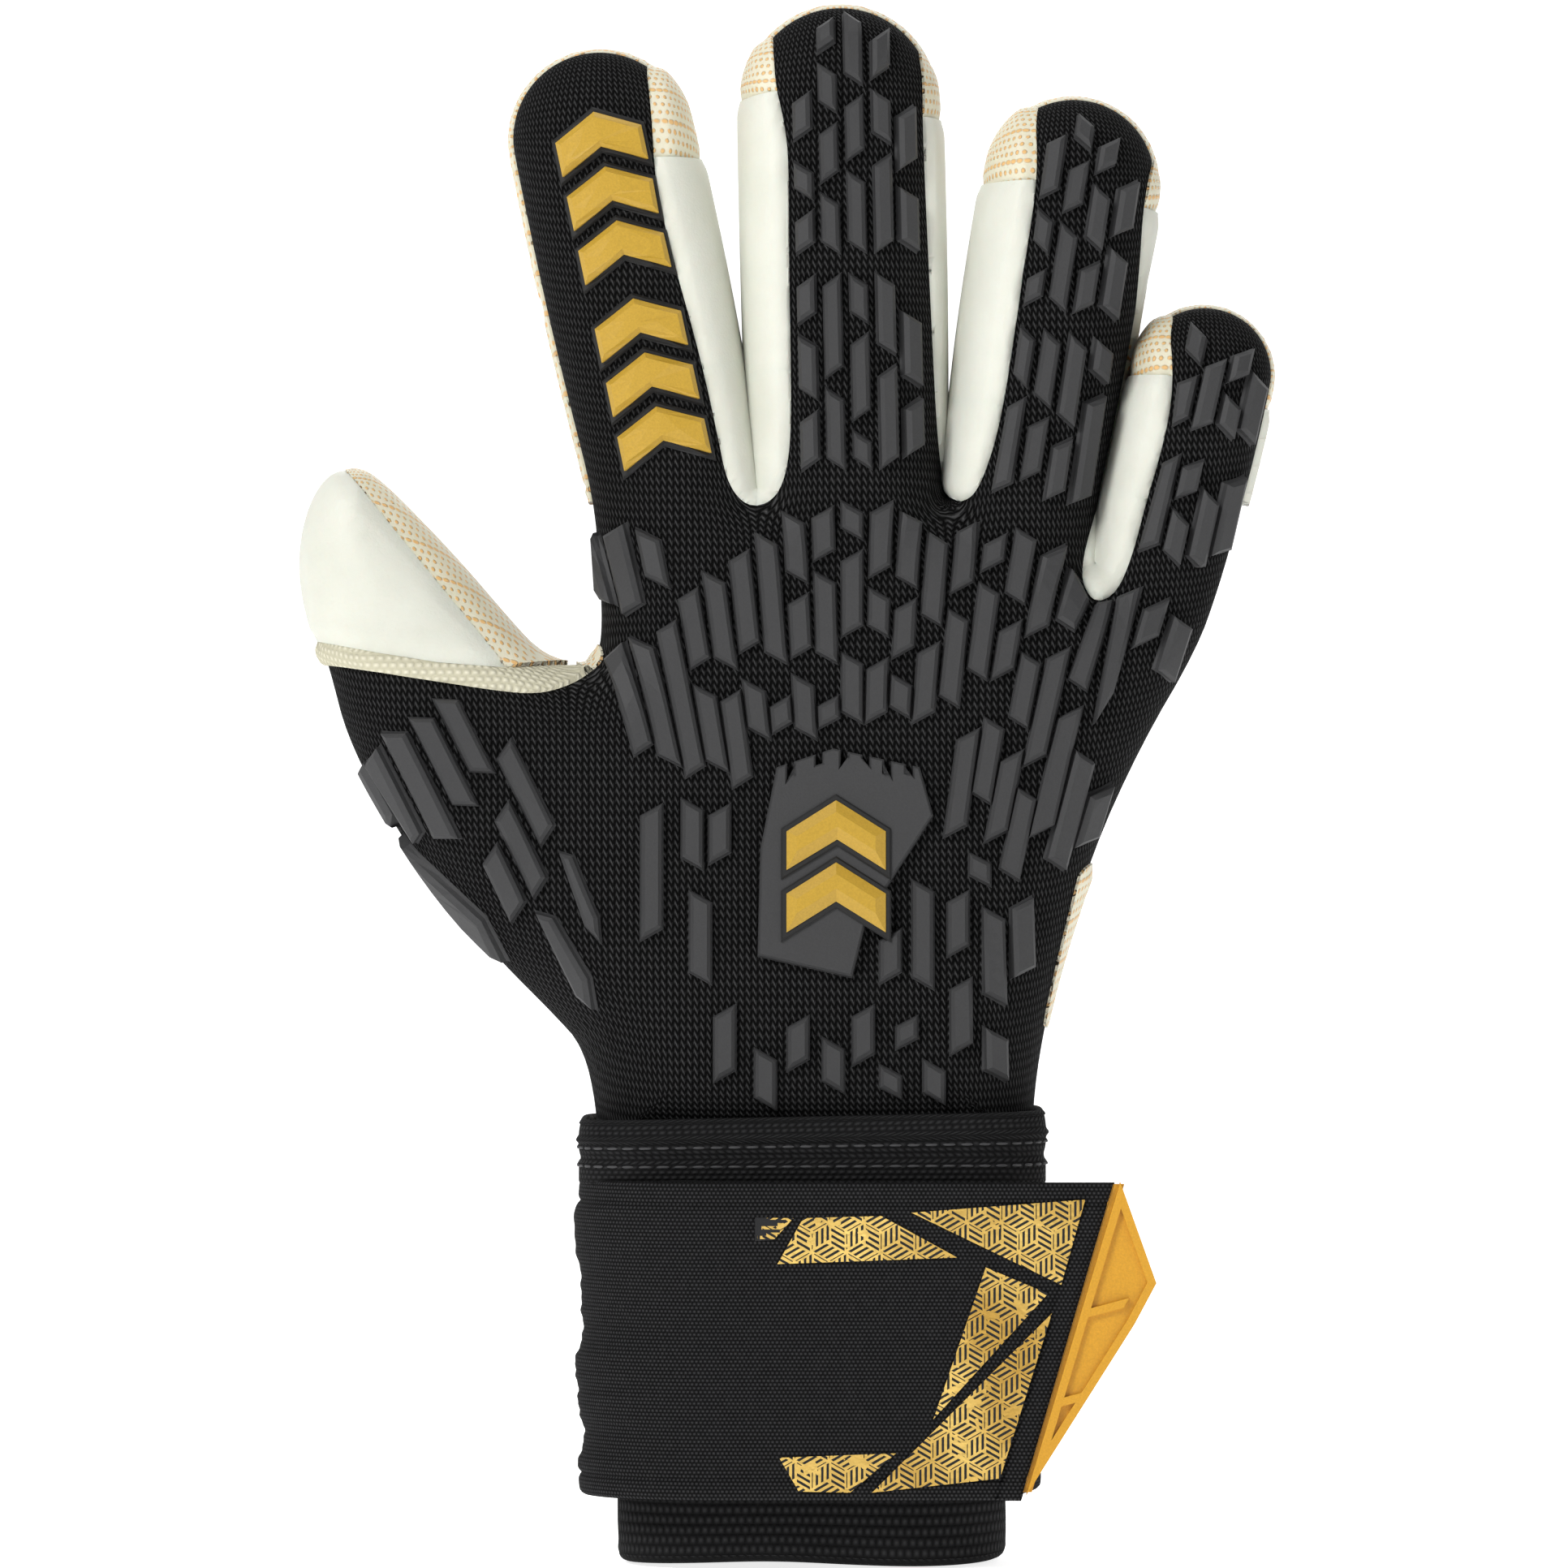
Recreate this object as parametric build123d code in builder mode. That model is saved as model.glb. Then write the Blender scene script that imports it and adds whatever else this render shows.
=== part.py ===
"""Goalkeeper glove, right hand, worn upright: fingers towards +Z, back of the hand towards -Y, palm towards +Y.

The origin is the centre of the wrist opening. Each finger stall is a box of panels: a fabric strip on the back, a
rolled latex gusset on each side, and a latex palm that wraps over the tip. Stalls bend at a knuckle and a middle
joint, the thumb swings and bends, the strap's free end peels off, and its pull tab flexes.
"""

import os
from collections import namedtuple
from math import cos, radians, sin, tan

from build123d import *

# ---- Driving dimensions, in millimetres and degrees -------------------------------------------------------------

GAP = 0.3                   # half of the clearance across a joint
HINGE_Y = 3.0               # finger hinges lie this far to the palm side of the middle
KNUCKLE = 4.0               # a finger's first hinge is this far up from its base
FLEX = 70.0                 # finger joints bend this far towards the palm
WALL_BACK = 3.5             # fabric and foam on the back of a finger
WALL_GUSSET = 4.0           # rolled latex at a finger's side
WALL_PALM = 5.0             # palm latex on foam
ROLL = 5.2                  # how far a gusset rolls on to the back of the finger
TIP_WRAP = 13.0             # how far the palm latex wraps down from the tip
BAR_HEIGHT = 2.0            # rubber bars above the fabric

HAND_LOW = 76.0             # the hand panels start at this height
HAND_TOP = 206.0
KNUCKLE_Z = 200.0
WRIST_HALF = 25.0           # half of the depth at the wrist
KNUCKLE_HALF = 14.0         # half of the depth at the knuckles
HAND_WALL = 3.6
HAND_ROUND = 9.0
FAN_X = 7.5                 # the bars on the back fan out from this point at z = 0
BAR_PITCH = 1.6             # degrees between neighbouring bars of the fan
BAR_WIDTH = 3.9

CUFF_SIZE = (72.0, 50.0)
CUFF_WALL = 3.0
STRAP_LOW, STRAP_HIGH = 12.5, 71.0
STRAP_INNER = (73.0, 51.0)
STRAP_OUTER = (85.0, 61.0)
PEEL_X = -12.0              # the strap's free end starts here
STRAP_TIP_LOW, STRAP_TIP_HIGH = 37.5, 54.7
LAYER = 0.8                 # a hook or loop patch

CREASE_X = -41.5            # the thumb swings about this line
THUMB_SWING = 40.0
THUMB_BEND = 55.0
THUMB_JOINT_Z = 166.5

Finger = namedtuple("Finger", "name x z tilt fold length base_width mid_width half joint bars")

# tilt is the finger's own lean. fold is the lean of its hinges' lines, set so that bent fingers clear each other.
# Bars of a finger: (place across the strip, start, end), along the finger from its base.
FINGERS = [
    Finger("index", -25.2, 197.0, -12.0, -6.0, 84.5, 30.0, 32.5, 13.5, 40.0, []),
    Finger("middle", 7.2, 197.0, -1.4, -1.4, 91.3, 34.0, 34.5, 14.0, 43.0, [
        (-8.6, 5, 16), (-8.6, 18, 30), (-8.6, 32, 41), (-8.6, 45, 53), (-8.6, 55, 62), (-8.6, 66, 75),
        (-3.6, 5, 20), (-3.6, 22, 41), (-3.6, 45, 56), (-3.6, 58, 69), (-3.6, 71, 80), (-3.6, 82, 88),
        (1.6, 5, 12), (1.6, 14, 30), (1.6, 32, 41), (1.6, 45, 60), (1.6, 62, 74), (1.6, 76, 89),
        (6.8, 5, 24), (6.8, 26, 41), (6.8, 45, 63), (6.8, 65, 75), (6.8, 77, 86),
        (11.4, 7, 18), (11.4, 20, 34), (11.4, 45, 57), (11.4, 60, 72),
    ]),
    Finger("ring", 38.6, 192.0, 9.0, 6.0, 80.0, 27.0, 30.5, 13.5, 38.0, [
        (-5.6, 5, 23), (-5.6, 25, 36), (-5.6, 40, 47), (-5.6, 50, 58), (-5.6, 60, 72),
        (-0.6, 8, 20), (-0.6, 22, 36), (-0.6, 40, 56), (-0.6, 58, 68), (-0.6, 70, 76),
        (4.4, 5, 17), (4.4, 19, 36), (4.4, 40, 50), (4.4, 52, 64), (4.4, 66, 73),
        (9.2, 5, 26), (9.2, 28, 36), (9.2, 40, 53), (9.2, 55, 66),
    ]),
    Finger("pinky", 63.9, 180.0, 13.0, 0.0, 53.5, 23.0, 25.0, 12.5, 27.0, [
        (-3.6, 6, 25), (-3.6, 30, 40), (-3.6, 42, 49),
        (0.8, 5, 15), (0.8, 17, 25), (0.8, 30, 44),
        (5.2, 5, 20), (5.2, 30, 38), (5.2, 40, 47),
        (9.0, 8, 24), (9.0, 30, 43),
    ]),
]

# Bars on the back of the hand: the fan's column number, then (low, high) heights.
BACK_BARS = {
    -9: [(149, 170), (177, 192)],
    -8: [(147, 171), (175, 192)],
    -7: [(145, 174), (180, 191)],
    -6: [(146, 162), (165, 180)],
    -5: [(143, 161), (165, 183)],
    -4: [(152, 163), (168, 187)],
    -3: [(153, 160), (166, 190)],
    -2: [(152, 164), (167, 179), (181, 194)],
    -1: [(154, 160), (166, 183), (185, 195)],
    0: [(155, 168), (171, 187), (189, 196)],
    1: [(155, 167), (171, 180), (182, 196)],
    2: [(156, 164), (167, 178), (180, 194)],
    3: [(155, 170), (173, 190)],
    4: [(158, 176), (179, 192)],
    5: [(134, 154), (163, 181), (183, 190)],
    6: [(140, 156), (163, 174), (177, 191)],
    7: [(133, 150), (154, 168), (171, 188)],
    8: [(126, 143), (147, 169), (172, 186)],
    9: [(134, 158), (161, 183)],
    10: [(128, 150), (154, 180)],
    11: [(132, 144), (153, 166), (169, 178)],
    12: [(163, 175)],
}

# Scattered bars lower down on the back of the hand, as (x, low, high).
LOW_BARS = [
    (-29.5, 115, 140), (-22.0, 128, 141), (-17.0, 129, 140), (-20.5, 107, 124), (-16.0, 89, 103), (-8.5, 84, 95),
    (-2.5, 91, 101), (4.0, 87, 97), (9.5, 92, 103), (14.5, 86, 92), (17.5, 95, 101), (22.5, 85, 93),
    (27.5, 94, 108), (33.5, 89, 99), (14.5, 107, 117), (20.5, 106, 126), (27.0, 112, 124), (33.5, 103, 121),
    (38.5, 108, 123), (31.0, 125, 131),
]

# Bars on the thumb's root run along the thumb: (place across it, start, end) from the crease.
THUMB_BARS = [
    (-9.5, 4, 24), (-4.0, 2, 26), (1.5, -16, -2), (1.5, 6, 26), (7.0, -14, 4), (7.0, 10, 27), (12.5, -6, 14),
]

# Gold print on the strap's free end, as corner points (x, z).
FOIL = [
    [(-10.4, 64.5), (-3.4, 64.4), (-7.0, 60.4), (-10.4, 60.2)],
    [(-1.6, 64.4), (12.7, 64.8), (26.6, 57.2), (-6.3, 56.0)],
    [(18.2, 65.4), (50.0, 67.8), (45.6, 52.2)],
    [(31.8, 55.4), (43.2, 50.6), (22.2, 27.6)],
    [(43.9, 47.0), (34.4, 16.8), (11.0, 14.2)],
    [(-6.0, 20.6), (15.4, 21.4), (7.0, 14.2), (-2.4, 14.4)],
]

made = []


def keep(part, label):
    """Labels a finished piece for export."""
    part.label = label
    made.append(part)


# ---- Finger stalls ----------------------------------------------------------------------------------------------


def facing(f, y=0.0):
    """The plane of a finger's outline, seen from the back of the hand, at depth y. Its Y runs along the finger."""
    t = radians(f.tilt)
    return Plane(origin=(f.x, 0, f.z), x_dir=(cos(t), 0, -sin(t)), z_dir=(0, -1, 0)).offset(-y)


def side_on(f):
    """The plane of a finger's profile: X is the depth y, and Y runs along the finger."""
    t = radians(f.tilt)
    return Plane(origin=(f.x, 0, f.z), x_dir=(0, 1, 0), z_dir=(cos(t), 0, -sin(t)))


def stall_outline(f, inset, tip_inset, below=14.0):
    """The stall's outline from the back: straight sides that widen to the middle, then a round tip."""
    base = f.base_width / 2 - inset
    mid = f.mid_width / 2 - inset
    top = f.length - tip_inset
    shoulder = top - mid
    with BuildSketch() as outline:
        with BuildLine():
            Polyline((-mid, shoulder), (-mid, f.joint), (-base, 0), (-base, -below),
                     (base, -below), (base, 0), (mid, f.joint), (mid, shoulder))
            ThreePointArc((mid, shoulder), (0, top), (-mid, shoulder))
        make_face()
    return outline.sketch


def notch(y):
    """How far a palm side stands back from a finger joint at depth y, so that the joint can close."""
    return GAP + max(0.0, y - HINGE_Y) * tan(radians(FLEX / 2))


def hinge_plane(f, along_finger):
    """The plane across a finger's hinge line: X is the depth y, and Y is square to the line, towards the tip."""
    t, a = radians(f.tilt), radians(f.fold)
    return Plane(origin=(f.x + along_finger * sin(t), 0, f.z + along_finger * cos(t)), x_dir=(0, 1, 0),
                 z_dir=(cos(a), 0, -sin(a)))


def hinge_room(f, along_finger, side, reach=30.0):
    """The room above (1) or below (-1) a finger's hinge, with its half of the flex notch."""
    far = 40.0
    with BuildPart() as room:
        with BuildSketch(hinge_plane(f, along_finger)):
            with BuildLine():
                Polyline((-far, side * GAP), (HINGE_Y, side * GAP), (far, side * notch(far)), (far, side * 120),
                         (-far, side * 120), close=True)
            make_face()
        extrude(amount=reach, both=True)
    return room.part


def tip_room(f):
    """The room of a stall with its tip bevelled towards the back and the palm."""
    with BuildSketch(side_on(f)) as profile:
        with BuildLine():
            Polyline((-f.half, -20), (f.half, -20), (f.half, f.length - 9), (f.half - 6, f.length + 1),
                     (-f.half + 6, f.length + 1), (-f.half, f.length - 7), close=True)
        make_face()
    return profile.sketch


def palm_profile(f):
    """The room of a stall's palm: the palm side, and the tip above the wrap line."""
    inner = f.half - WALL_PALM
    with BuildSketch(side_on(f)) as profile:
        with BuildLine():
            Polyline((inner, -20), (f.half + 2, -20), (f.half + 2, f.length + 5), (-f.half + WALL_BACK, f.length + 5),
                     (-f.half + WALL_BACK, f.length - TIP_WRAP), (inner, f.length - TIP_WRAP), close=True)
        make_face()
    return profile.sketch


def stall_block(f):
    """A whole stall as one solid with rounded edges."""
    with BuildPart() as block:
        with BuildSketch(facing(f, f.half)):
            add(stall_outline(f, 0, 0))
        extrude(amount=2 * f.half)
        ends = block.faces().filter_by(Axis.Y)
        fillet(ends.edges(), 4.5)
    return block.part


def stall_cavity(f):
    """The room for the finger."""
    with BuildPart() as cavity:
        with BuildSketch(facing(f, f.half - WALL_PALM)):
            add(stall_outline(f, WALL_GUSSET, WALL_PALM))
        extrude(amount=2 * f.half - WALL_PALM - WALL_BACK)
    return cavity.part


def strip_room(f, height=0.0):
    """The room of the fabric strip on the finger's back, or of what stands on it up to a height."""
    with BuildPart() as room:
        with BuildSketch(facing(f, -f.half + WALL_BACK)):
            add(stall_outline(f, ROLL, -1))
        extrude(amount=WALL_BACK + height)
    return room.part


def build_stall(f):
    """All the pieces of one finger, each in a lower and an upper segment."""
    cavity, strip = stall_cavity(f), strip_room(f)
    with BuildPart() as block:
        add(stall_block(f))
        extrude(tip_room(f), amount=40, both=True, mode=Mode.INTERSECT)
        add(hinge_room(f, KNUCKLE, 1), mode=Mode.INTERSECT)
    for level, side in (("lower", -1), ("upper", 1)):
        with BuildPart() as segment:
            add(block.part)
            add(hinge_room(f, f.joint, side), mode=Mode.INTERSECT)

        with BuildPart() as back:
            add(segment.part)
            add(strip, mode=Mode.INTERSECT)
        keep(back.part, f"{f.name}_back_{level}")

        with BuildPart() as gussets:
            add(segment.part)
            add(cavity, mode=Mode.SUBTRACT)
            add(strip, mode=Mode.SUBTRACT)
            extrude(palm_profile(f), amount=40, both=True, mode=Mode.SUBTRACT)
        keep(gussets.part, f"{f.name}_gussets_{level}")

        with BuildPart() as palm:
            add(segment.part)
            add(cavity, mode=Mode.SUBTRACT)
            extrude(palm_profile(f), amount=40, both=True, mode=Mode.INTERSECT)
        keep(palm.part, f"{f.name}_palm_{level}")


def bar_corners(across, start, end, lean, width=BAR_WIDTH):
    """Corners of one rubber bar with slanted ends. A lean of 1 or -1 slants them up or down to the right."""
    half, slant = width / 2, min(2.2, (end - start) / 3)
    low, high = (0, slant) if lean > 0 else (slant, 0)
    return [(across - half, start + low), (across + half, start + high),
            (across + half, end - low), (across - half, end - high)]


def build_finger_bars(f):
    """Rubber bars that stand on the fabric strip."""
    for upper in (False, True):
        rows = [b for b in f.bars if (b[1] > f.joint) == upper]
        with BuildPart() as bars:
            with BuildSketch(facing(f, -f.half)):
                for number, (across, start, end) in enumerate(rows):
                    with BuildLine():
                        Polyline(*bar_corners(across, start, end, (-1) ** number, 3.4), close=True)
                    make_face()
            extrude(amount=BAR_HEIGHT)
            add(hinge_room(f, f.joint, 1 if upper else -1), mode=Mode.INTERSECT)
            add(hinge_room(f, KNUCKLE, 1), mode=Mode.INTERSECT)
        keep(bars.part, f"{f.name}_bars_{'upper' if upper else 'lower'}")


def build_index_chevrons(f):
    """Raised gold chevrons along the index finger, pointing to its tip."""
    half, arm, rise, pitch = 7.6, 6.4, 4.0, 10.2
    starts = {False: [6.5, 16.7, 26.9], True: [41.6 + pitch * n for n in range(3)]}
    for upper, rows in starts.items():
        with BuildPart() as chevrons:
            with BuildSketch(facing(f, -f.half)):
                for s in rows:
                    with BuildLine():
                        Polyline((-half, s), (0, s + rise), (half, s), (half, s + arm),
                                 (0, s + rise + arm), (-half, s + arm), close=True)
                    make_face()
            extrude(amount=2.4)
            add(hinge_room(f, f.joint, 1 if upper else -1), mode=Mode.INTERSECT)
            add(hinge_room(f, KNUCKLE, 1), mode=Mode.INTERSECT)
        keep(chevrons.part, f"index_chevrons_{'upper' if upper else 'lower'}")


for finger in FINGERS:
    build_stall(finger)
    if finger.bars:
        build_finger_bars(finger)
    else:
        build_index_chevrons(finger)

# ---- Hand -------------------------------------------------------------------------------------------------------

HAND_LEFT = [(-38, HAND_LOW), (-40.6, 97), (-41.0, HAND_TOP)]
HAND_RIGHT = [(84, HAND_TOP), (77, 180), (69, 168), (60, 150), (51, 128), (43.5, 98), (40, HAND_LOW)]


def half_depth(z):
    """Half of the hand's depth at height z."""
    return WRIST_HALF + (KNUCKLE_HALF - WRIST_HALF) * (z - HAND_LOW) / (KNUCKLE_Z - HAND_LOW)


def hand_solid(inset, rounding):
    """The hand as one solid, inset by a wall. It tapers in depth from the wrist to the knuckles."""
    low, high = half_depth(HAND_LOW) - inset, half_depth(HAND_TOP) - inset
    bottom = HAND_LOW if inset <= 0 else HAND_LOW - 1
    outline = [(x + inset, z) for x, z in HAND_LEFT] + [(x - inset, z) for x, z in HAND_RIGHT]
    with BuildPart() as solid:
        with BuildSketch(Plane.XZ.offset(-40)):
            with BuildLine():
                Polyline(*outline, close=True)
            make_face()
        extrude(amount=80)
        with BuildSketch(Plane.YZ.offset(-100)):
            with BuildLine():
                Polyline((-low, bottom), (low, bottom), (high, HAND_TOP), (-high, HAND_TOP), close=True)
            make_face()
        extrude(amount=220, mode=Mode.INTERSECT)
        rims = solid.edges().filter_by(lambda e: abs(e.center().Y) > 5 and abs(e.tangent_at(0.5).Z) > 0.5)
        fillet(rims, rounding)
    return solid.part


def knuckle_cutters():
    """What the hand's panels stand back from: the fingers above their knuckle joints."""
    with BuildPart() as cutters:
        for f in FINGERS:
            far = 40.0
            with BuildSketch(hinge_plane(f, KNUCKLE)):
                with BuildLine():
                    Polyline((-far, -GAP), (HINGE_Y, -GAP), (far, -notch(far)), (far, 60), (-far, 60), close=True)
                make_face()
            reach = f.base_width / 2 + (6 if f.name in ("index", "pinky") else 2)
            extrude(amount=reach, both=True)
        with Locations((100, 0, 204)):      # the last corner of the hand outside the little finger
            Box(40, 80, 40)
    return cutters.part


def crease_room(side):
    """The room on one side of the thumb's crease: 1 for the hand, -1 for the thumb. Both stand back on the palm."""
    far = 45.0
    lean = tan(radians(THUMB_SWING / 2)) * (far - HINGE_Y)
    with BuildPart() as room:
        with BuildSketch(Plane.XY.offset(60)):
            with BuildLine():
                Polyline((CREASE_X + side * GAP, -far), (CREASE_X + side * GAP, HINGE_Y),
                         (CREASE_X + side * (GAP + lean), far), (CREASE_X + side * 160, far),
                         (CREASE_X + side * 160, -far), close=True)
            make_face()
        extrude(amount=THUMB_JOINT_Z - 60 if side > 0 else 160)
        if side > 0:
            with BuildSketch(Plane.XY.offset(THUMB_JOINT_Z)):
                Rectangle(400, 2 * far)
            extrude(amount=60)
    return room.part


hand_outer = hand_solid(0, HAND_ROUND)
hand_inner = hand_solid(HAND_WALL, HAND_ROUND - HAND_WALL)
knuckles = knuckle_cutters()
hand_side = crease_room(1)
BACK_EDGE, PALM_EDGE = -7.0, 7.0    # the side panels lie between these depths

with BuildPart() as hand_shell:
    add(hand_outer)
    add(hand_inner, mode=Mode.SUBTRACT)
    add(knuckles, mode=Mode.SUBTRACT)
    add(hand_side, mode=Mode.INTERSECT)
    with BuildSketch(Plane.YZ.offset(-50)):     # the way from the hand into the thumb
        with Locations((-0.5, 130)):
            Rectangle(24, 56)
    extrude(amount=20, mode=Mode.SUBTRACT)

with BuildPart() as backhand_panel:
    add(hand_shell.part)
    with Locations((0, BACK_EDGE - 50, 150)):
        Box(400, 100, 400, mode=Mode.INTERSECT)
keep(backhand_panel.part, "backhand_panel")

with BuildPart() as palm_panel:
    add(hand_shell.part)
    with Locations((0, PALM_EDGE + 50, 150)):
        Box(400, 100, 400, mode=Mode.INTERSECT)
keep(palm_panel.part, "palm_panel")

for side, label in ((1, "outer_side_panel"), (-1, "inner_side_panel")):
    with BuildPart() as side_panel:
        add(hand_shell.part)
        with Locations((side * 100 + 10, 0, 150)):
            Box(200, PALM_EDGE - BACK_EDGE, 400, mode=Mode.INTERSECT)
    keep(side_panel.part, label)

LINING_LOW, LINING_TOP = 80.0, 166.0
near, far = HAND_WALL + 0.1, HAND_WALL + 1.3
for side, label in ((-1, "backhand_lining"), (1, "palm_lining")):
    with BuildPart() as lining:
        with BuildSketch(Plane.YZ.offset(-27)):
            with BuildLine():
                Polyline(*[(side * (half_depth(z) - depth), z) for z, depth in (
                    (LINING_LOW, near), (LINING_TOP, near), (LINING_TOP, far), (LINING_LOW, far))], close=True)
            make_face()
        extrude(amount=57)
    keep(lining.part, label)

# ---- Rubber on the back of the hand -----------------------------------------------------------------------------

EMBLEM = [(-10, 112), (-9.5, 132), (-6.5, 147), (4, 150.5), (20, 147), (22.5, 138), (16, 128), (10, 118), (7.5, 108)]
EMBLEM_HEIGHT, INLAY_HEIGHT = 1.2, 1.0


def fan_x(column, z):
    """Where a column of the fan passes at height z."""
    return FAN_X + z * tan(radians(column * BAR_PITCH))


with BuildPart() as bar_layer:      # the room of the bars, wrapped round the hand's edges
    add(hand_solid(-BAR_HEIGHT, HAND_ROUND + BAR_HEIGHT))
    add(hand_outer, mode=Mode.SUBTRACT)
    add(knuckles, mode=Mode.SUBTRACT)
    add(hand_side, mode=Mode.INTERSECT)
    with Locations((0, -50 + BACK_EDGE + 1, 150)):
        Box(400, 100, 400, mode=Mode.INTERSECT)



def bar_on_back(corners):
    """One bar on the back of the hand, following its surface."""
    with BuildPart() as bar:
        with BuildSketch(Plane.XZ.offset(4)):
            with BuildLine():
                Polyline(*corners, close=True)
            make_face()
        extrude(amount=60)
        add(bar_layer.part, mode=Mode.INTERSECT)
    return bar.part


with BuildPart() as backhand_bars:
    for column, heights in BACK_BARS.items():
        for number, (low, high) in enumerate(heights):
            lean = 1 if (column + number) % 2 else -1
            add(bar_on_back([(fan_x(column, z) + x, z) for x, z in bar_corners(0, low, high, lean)]))
    for number, (x, low, high) in enumerate(LOW_BARS):
        add(bar_on_back(bar_corners(x, low, high, (-1) ** number)))
keep(backhand_bars.part, "backhand_bars")

back_slope = Plane(origin=(0, -WRIST_HALF, HAND_LOW), x_dir=(1, 0, 0),
                   z_dir=(0, -(KNUCKLE_Z - HAND_LOW), WRIST_HALF - KNUCKLE_HALF))

with BuildPart() as emblem_plate:
    with BuildSketch(back_slope):
        with BuildLine():
            Polyline(*[(x, z - HAND_LOW) for x, z in EMBLEM], close=True)
        make_face()
    extrude(amount=EMBLEM_HEIGHT)
keep(emblem_plate.part, "emblem_plate")

with BuildPart() as emblem_inlays:
    with BuildSketch(back_slope.offset(EMBLEM_HEIGHT)):
        for low in (39.5, 51.0):
            with BuildLine():
                Polyline((-5, low), (4.5, low + 6), (14, low), (14, low + 8), (4.5, low + 14), (-5, low + 8), close=True)
            make_face()
    extrude(amount=INLAY_HEIGHT, taper=20)
keep(emblem_inlays.part, "emblem_inlays")

# ---- Thumb ------------------------------------------------------------------------------------------------------

THUMB_ROOT = [(CREASE_X - GAP, 165.9), (-88.2, 165.9), (-86.3, 153), (-72, 130), (-57, 110), (CREASE_X - GAP, 97)]
THUMB_TIP = [(-46.5, 167.2), (-56, 175), (-66, 186), (-78, 199), (-86.5, 202), (-92, 197), (-93.6, 186),
             (-91.5, 175), (-89, 167.2)]
THUMB_BACK, THUMB_PALM = -17.0, 16.0
THUMB_TIP_BACK, THUMB_TIP_PALM = -14.0, 14.0


def slab(outline, back, front, inset=0.0):
    """An outline seen from the back of the hand, as a solid between two depths."""
    with BuildPart() as solid:
        with BuildSketch(Plane.XZ.offset(-front)):
            with BuildLine():
                Polyline(*outline, close=True)
            make_face()
            if inset:
                offset(amount=-inset, kind=Kind.INTERSECTION)
        extrude(amount=front - back)
    return solid.part


def thumb_joint_room(side):
    """The room above (1) or below (-1) the thumb's bending joint, standing back on the palm side."""
    far = 40.0
    lean = tan(radians(THUMB_BEND / 2)) * (far - HINGE_Y)
    z = THUMB_JOINT_Z
    with BuildPart() as room:
        with BuildSketch(Plane.YZ.offset(-150)):
            with BuildLine():
                Polyline((-far, z + side * GAP), (HINGE_Y, z + side * GAP), (far, z + side * (GAP + lean)),
                         (far, z + side * 100), (-far, z + side * 100), close=True)
            make_face()
        extrude(amount=300)
    return room.part


thumb_side = crease_room(-1)
root_block = slab(THUMB_ROOT, THUMB_BACK, THUMB_PALM)
root_open = [(CREASE_X + 8, 175), (-84.6, 175), (-82.6, 154.5), (-69, 133), (-54, 114.3), (CREASE_X + 8, 102)]
root_cavity = slab(root_open, THUMB_BACK + 3.5, THUMB_PALM - 4.5)
below_joint, above_joint = thumb_joint_room(-1), thumb_joint_room(1)

for label, centre in (("thumb_root_back", THUMB_BACK - 50 + 14), ("thumb_root_palm", THUMB_BACK + 14 + 50)):
    with BuildPart() as root_half:
        add(root_block)
        add(root_cavity, mode=Mode.SUBTRACT)
        add(below_joint, mode=Mode.INTERSECT)
        add(thumb_side, mode=Mode.INTERSECT)
        with Locations((-60, centre, 140)):
            Box(200, 100, 200, mode=Mode.INTERSECT)
    keep(root_half.part, label)

THUMB_AXIS = Plane(origin=(-62, THUMB_BACK, 133), x_dir=(cos(radians(27)), 0, sin(radians(27))), z_dir=(0, -1, 0))
with BuildPart() as thumb_bars:
    with BuildSketch(THUMB_AXIS):
        for number, (across, start, end) in enumerate(THUMB_BARS):
            with BuildLine():
                Polyline(*bar_corners(across, start, end, (-1) ** number), close=True)
            make_face()
    extrude(amount=BAR_HEIGHT)
    add(slab(THUMB_ROOT, THUMB_BACK - 5, THUMB_PALM, 1.0), mode=Mode.INTERSECT)
keep(thumb_bars.part, "thumb_bars")

tip_block = slab(THUMB_TIP, THUMB_TIP_BACK, THUMB_TIP_PALM)
tip_cavity = slab([(-54, 160), (-61.5, 176), (-71, 186.5), (-80, 195.5), (-85.5, 197), (-89.0, 186), (-87, 175), (-84.6, 160)],
                  THUMB_TIP_BACK + 3.5, THUMB_TIP_PALM - 4.5)
for label, centre in (("thumb_back", THUMB_TIP_BACK - 50 + 12), ("thumb_palm", THUMB_TIP_BACK + 12 + 50)):
    with BuildPart() as tip_half:
        add(tip_block)
        add(tip_cavity, mode=Mode.SUBTRACT)
        add(above_joint, mode=Mode.INTERSECT)
        with Locations((-60, centre, 190)):
            Box(200, 100, 200, mode=Mode.INTERSECT)
    keep(tip_half.part, label)

with BuildPart() as thumb_binding:
    with BuildSketch(Plane.XZ.offset(-THUMB_TIP_BACK)):
        with BuildLine():
            Polyline((-88.6, 168), (-48, 168), (-50, 172), (-90, 172), close=True)
        make_face()
    extrude(amount=1.2)
keep(thumb_binding.part, "thumb_binding")

# ---- Cuff and strap ---------------------------------------------------------------------------------------------


def ring(low, high, outer, inner, outer_round, inner_round, label):
    """A rounded rectangular ring round the wrist."""
    with BuildPart() as band:
        with BuildSketch(Plane.XY.offset(low)):
            RectangleRounded(*outer, outer_round)
            RectangleRounded(*inner, inner_round, mode=Mode.SUBTRACT)
        extrude(amount=high - low)
    keep(band.part, label)


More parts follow.
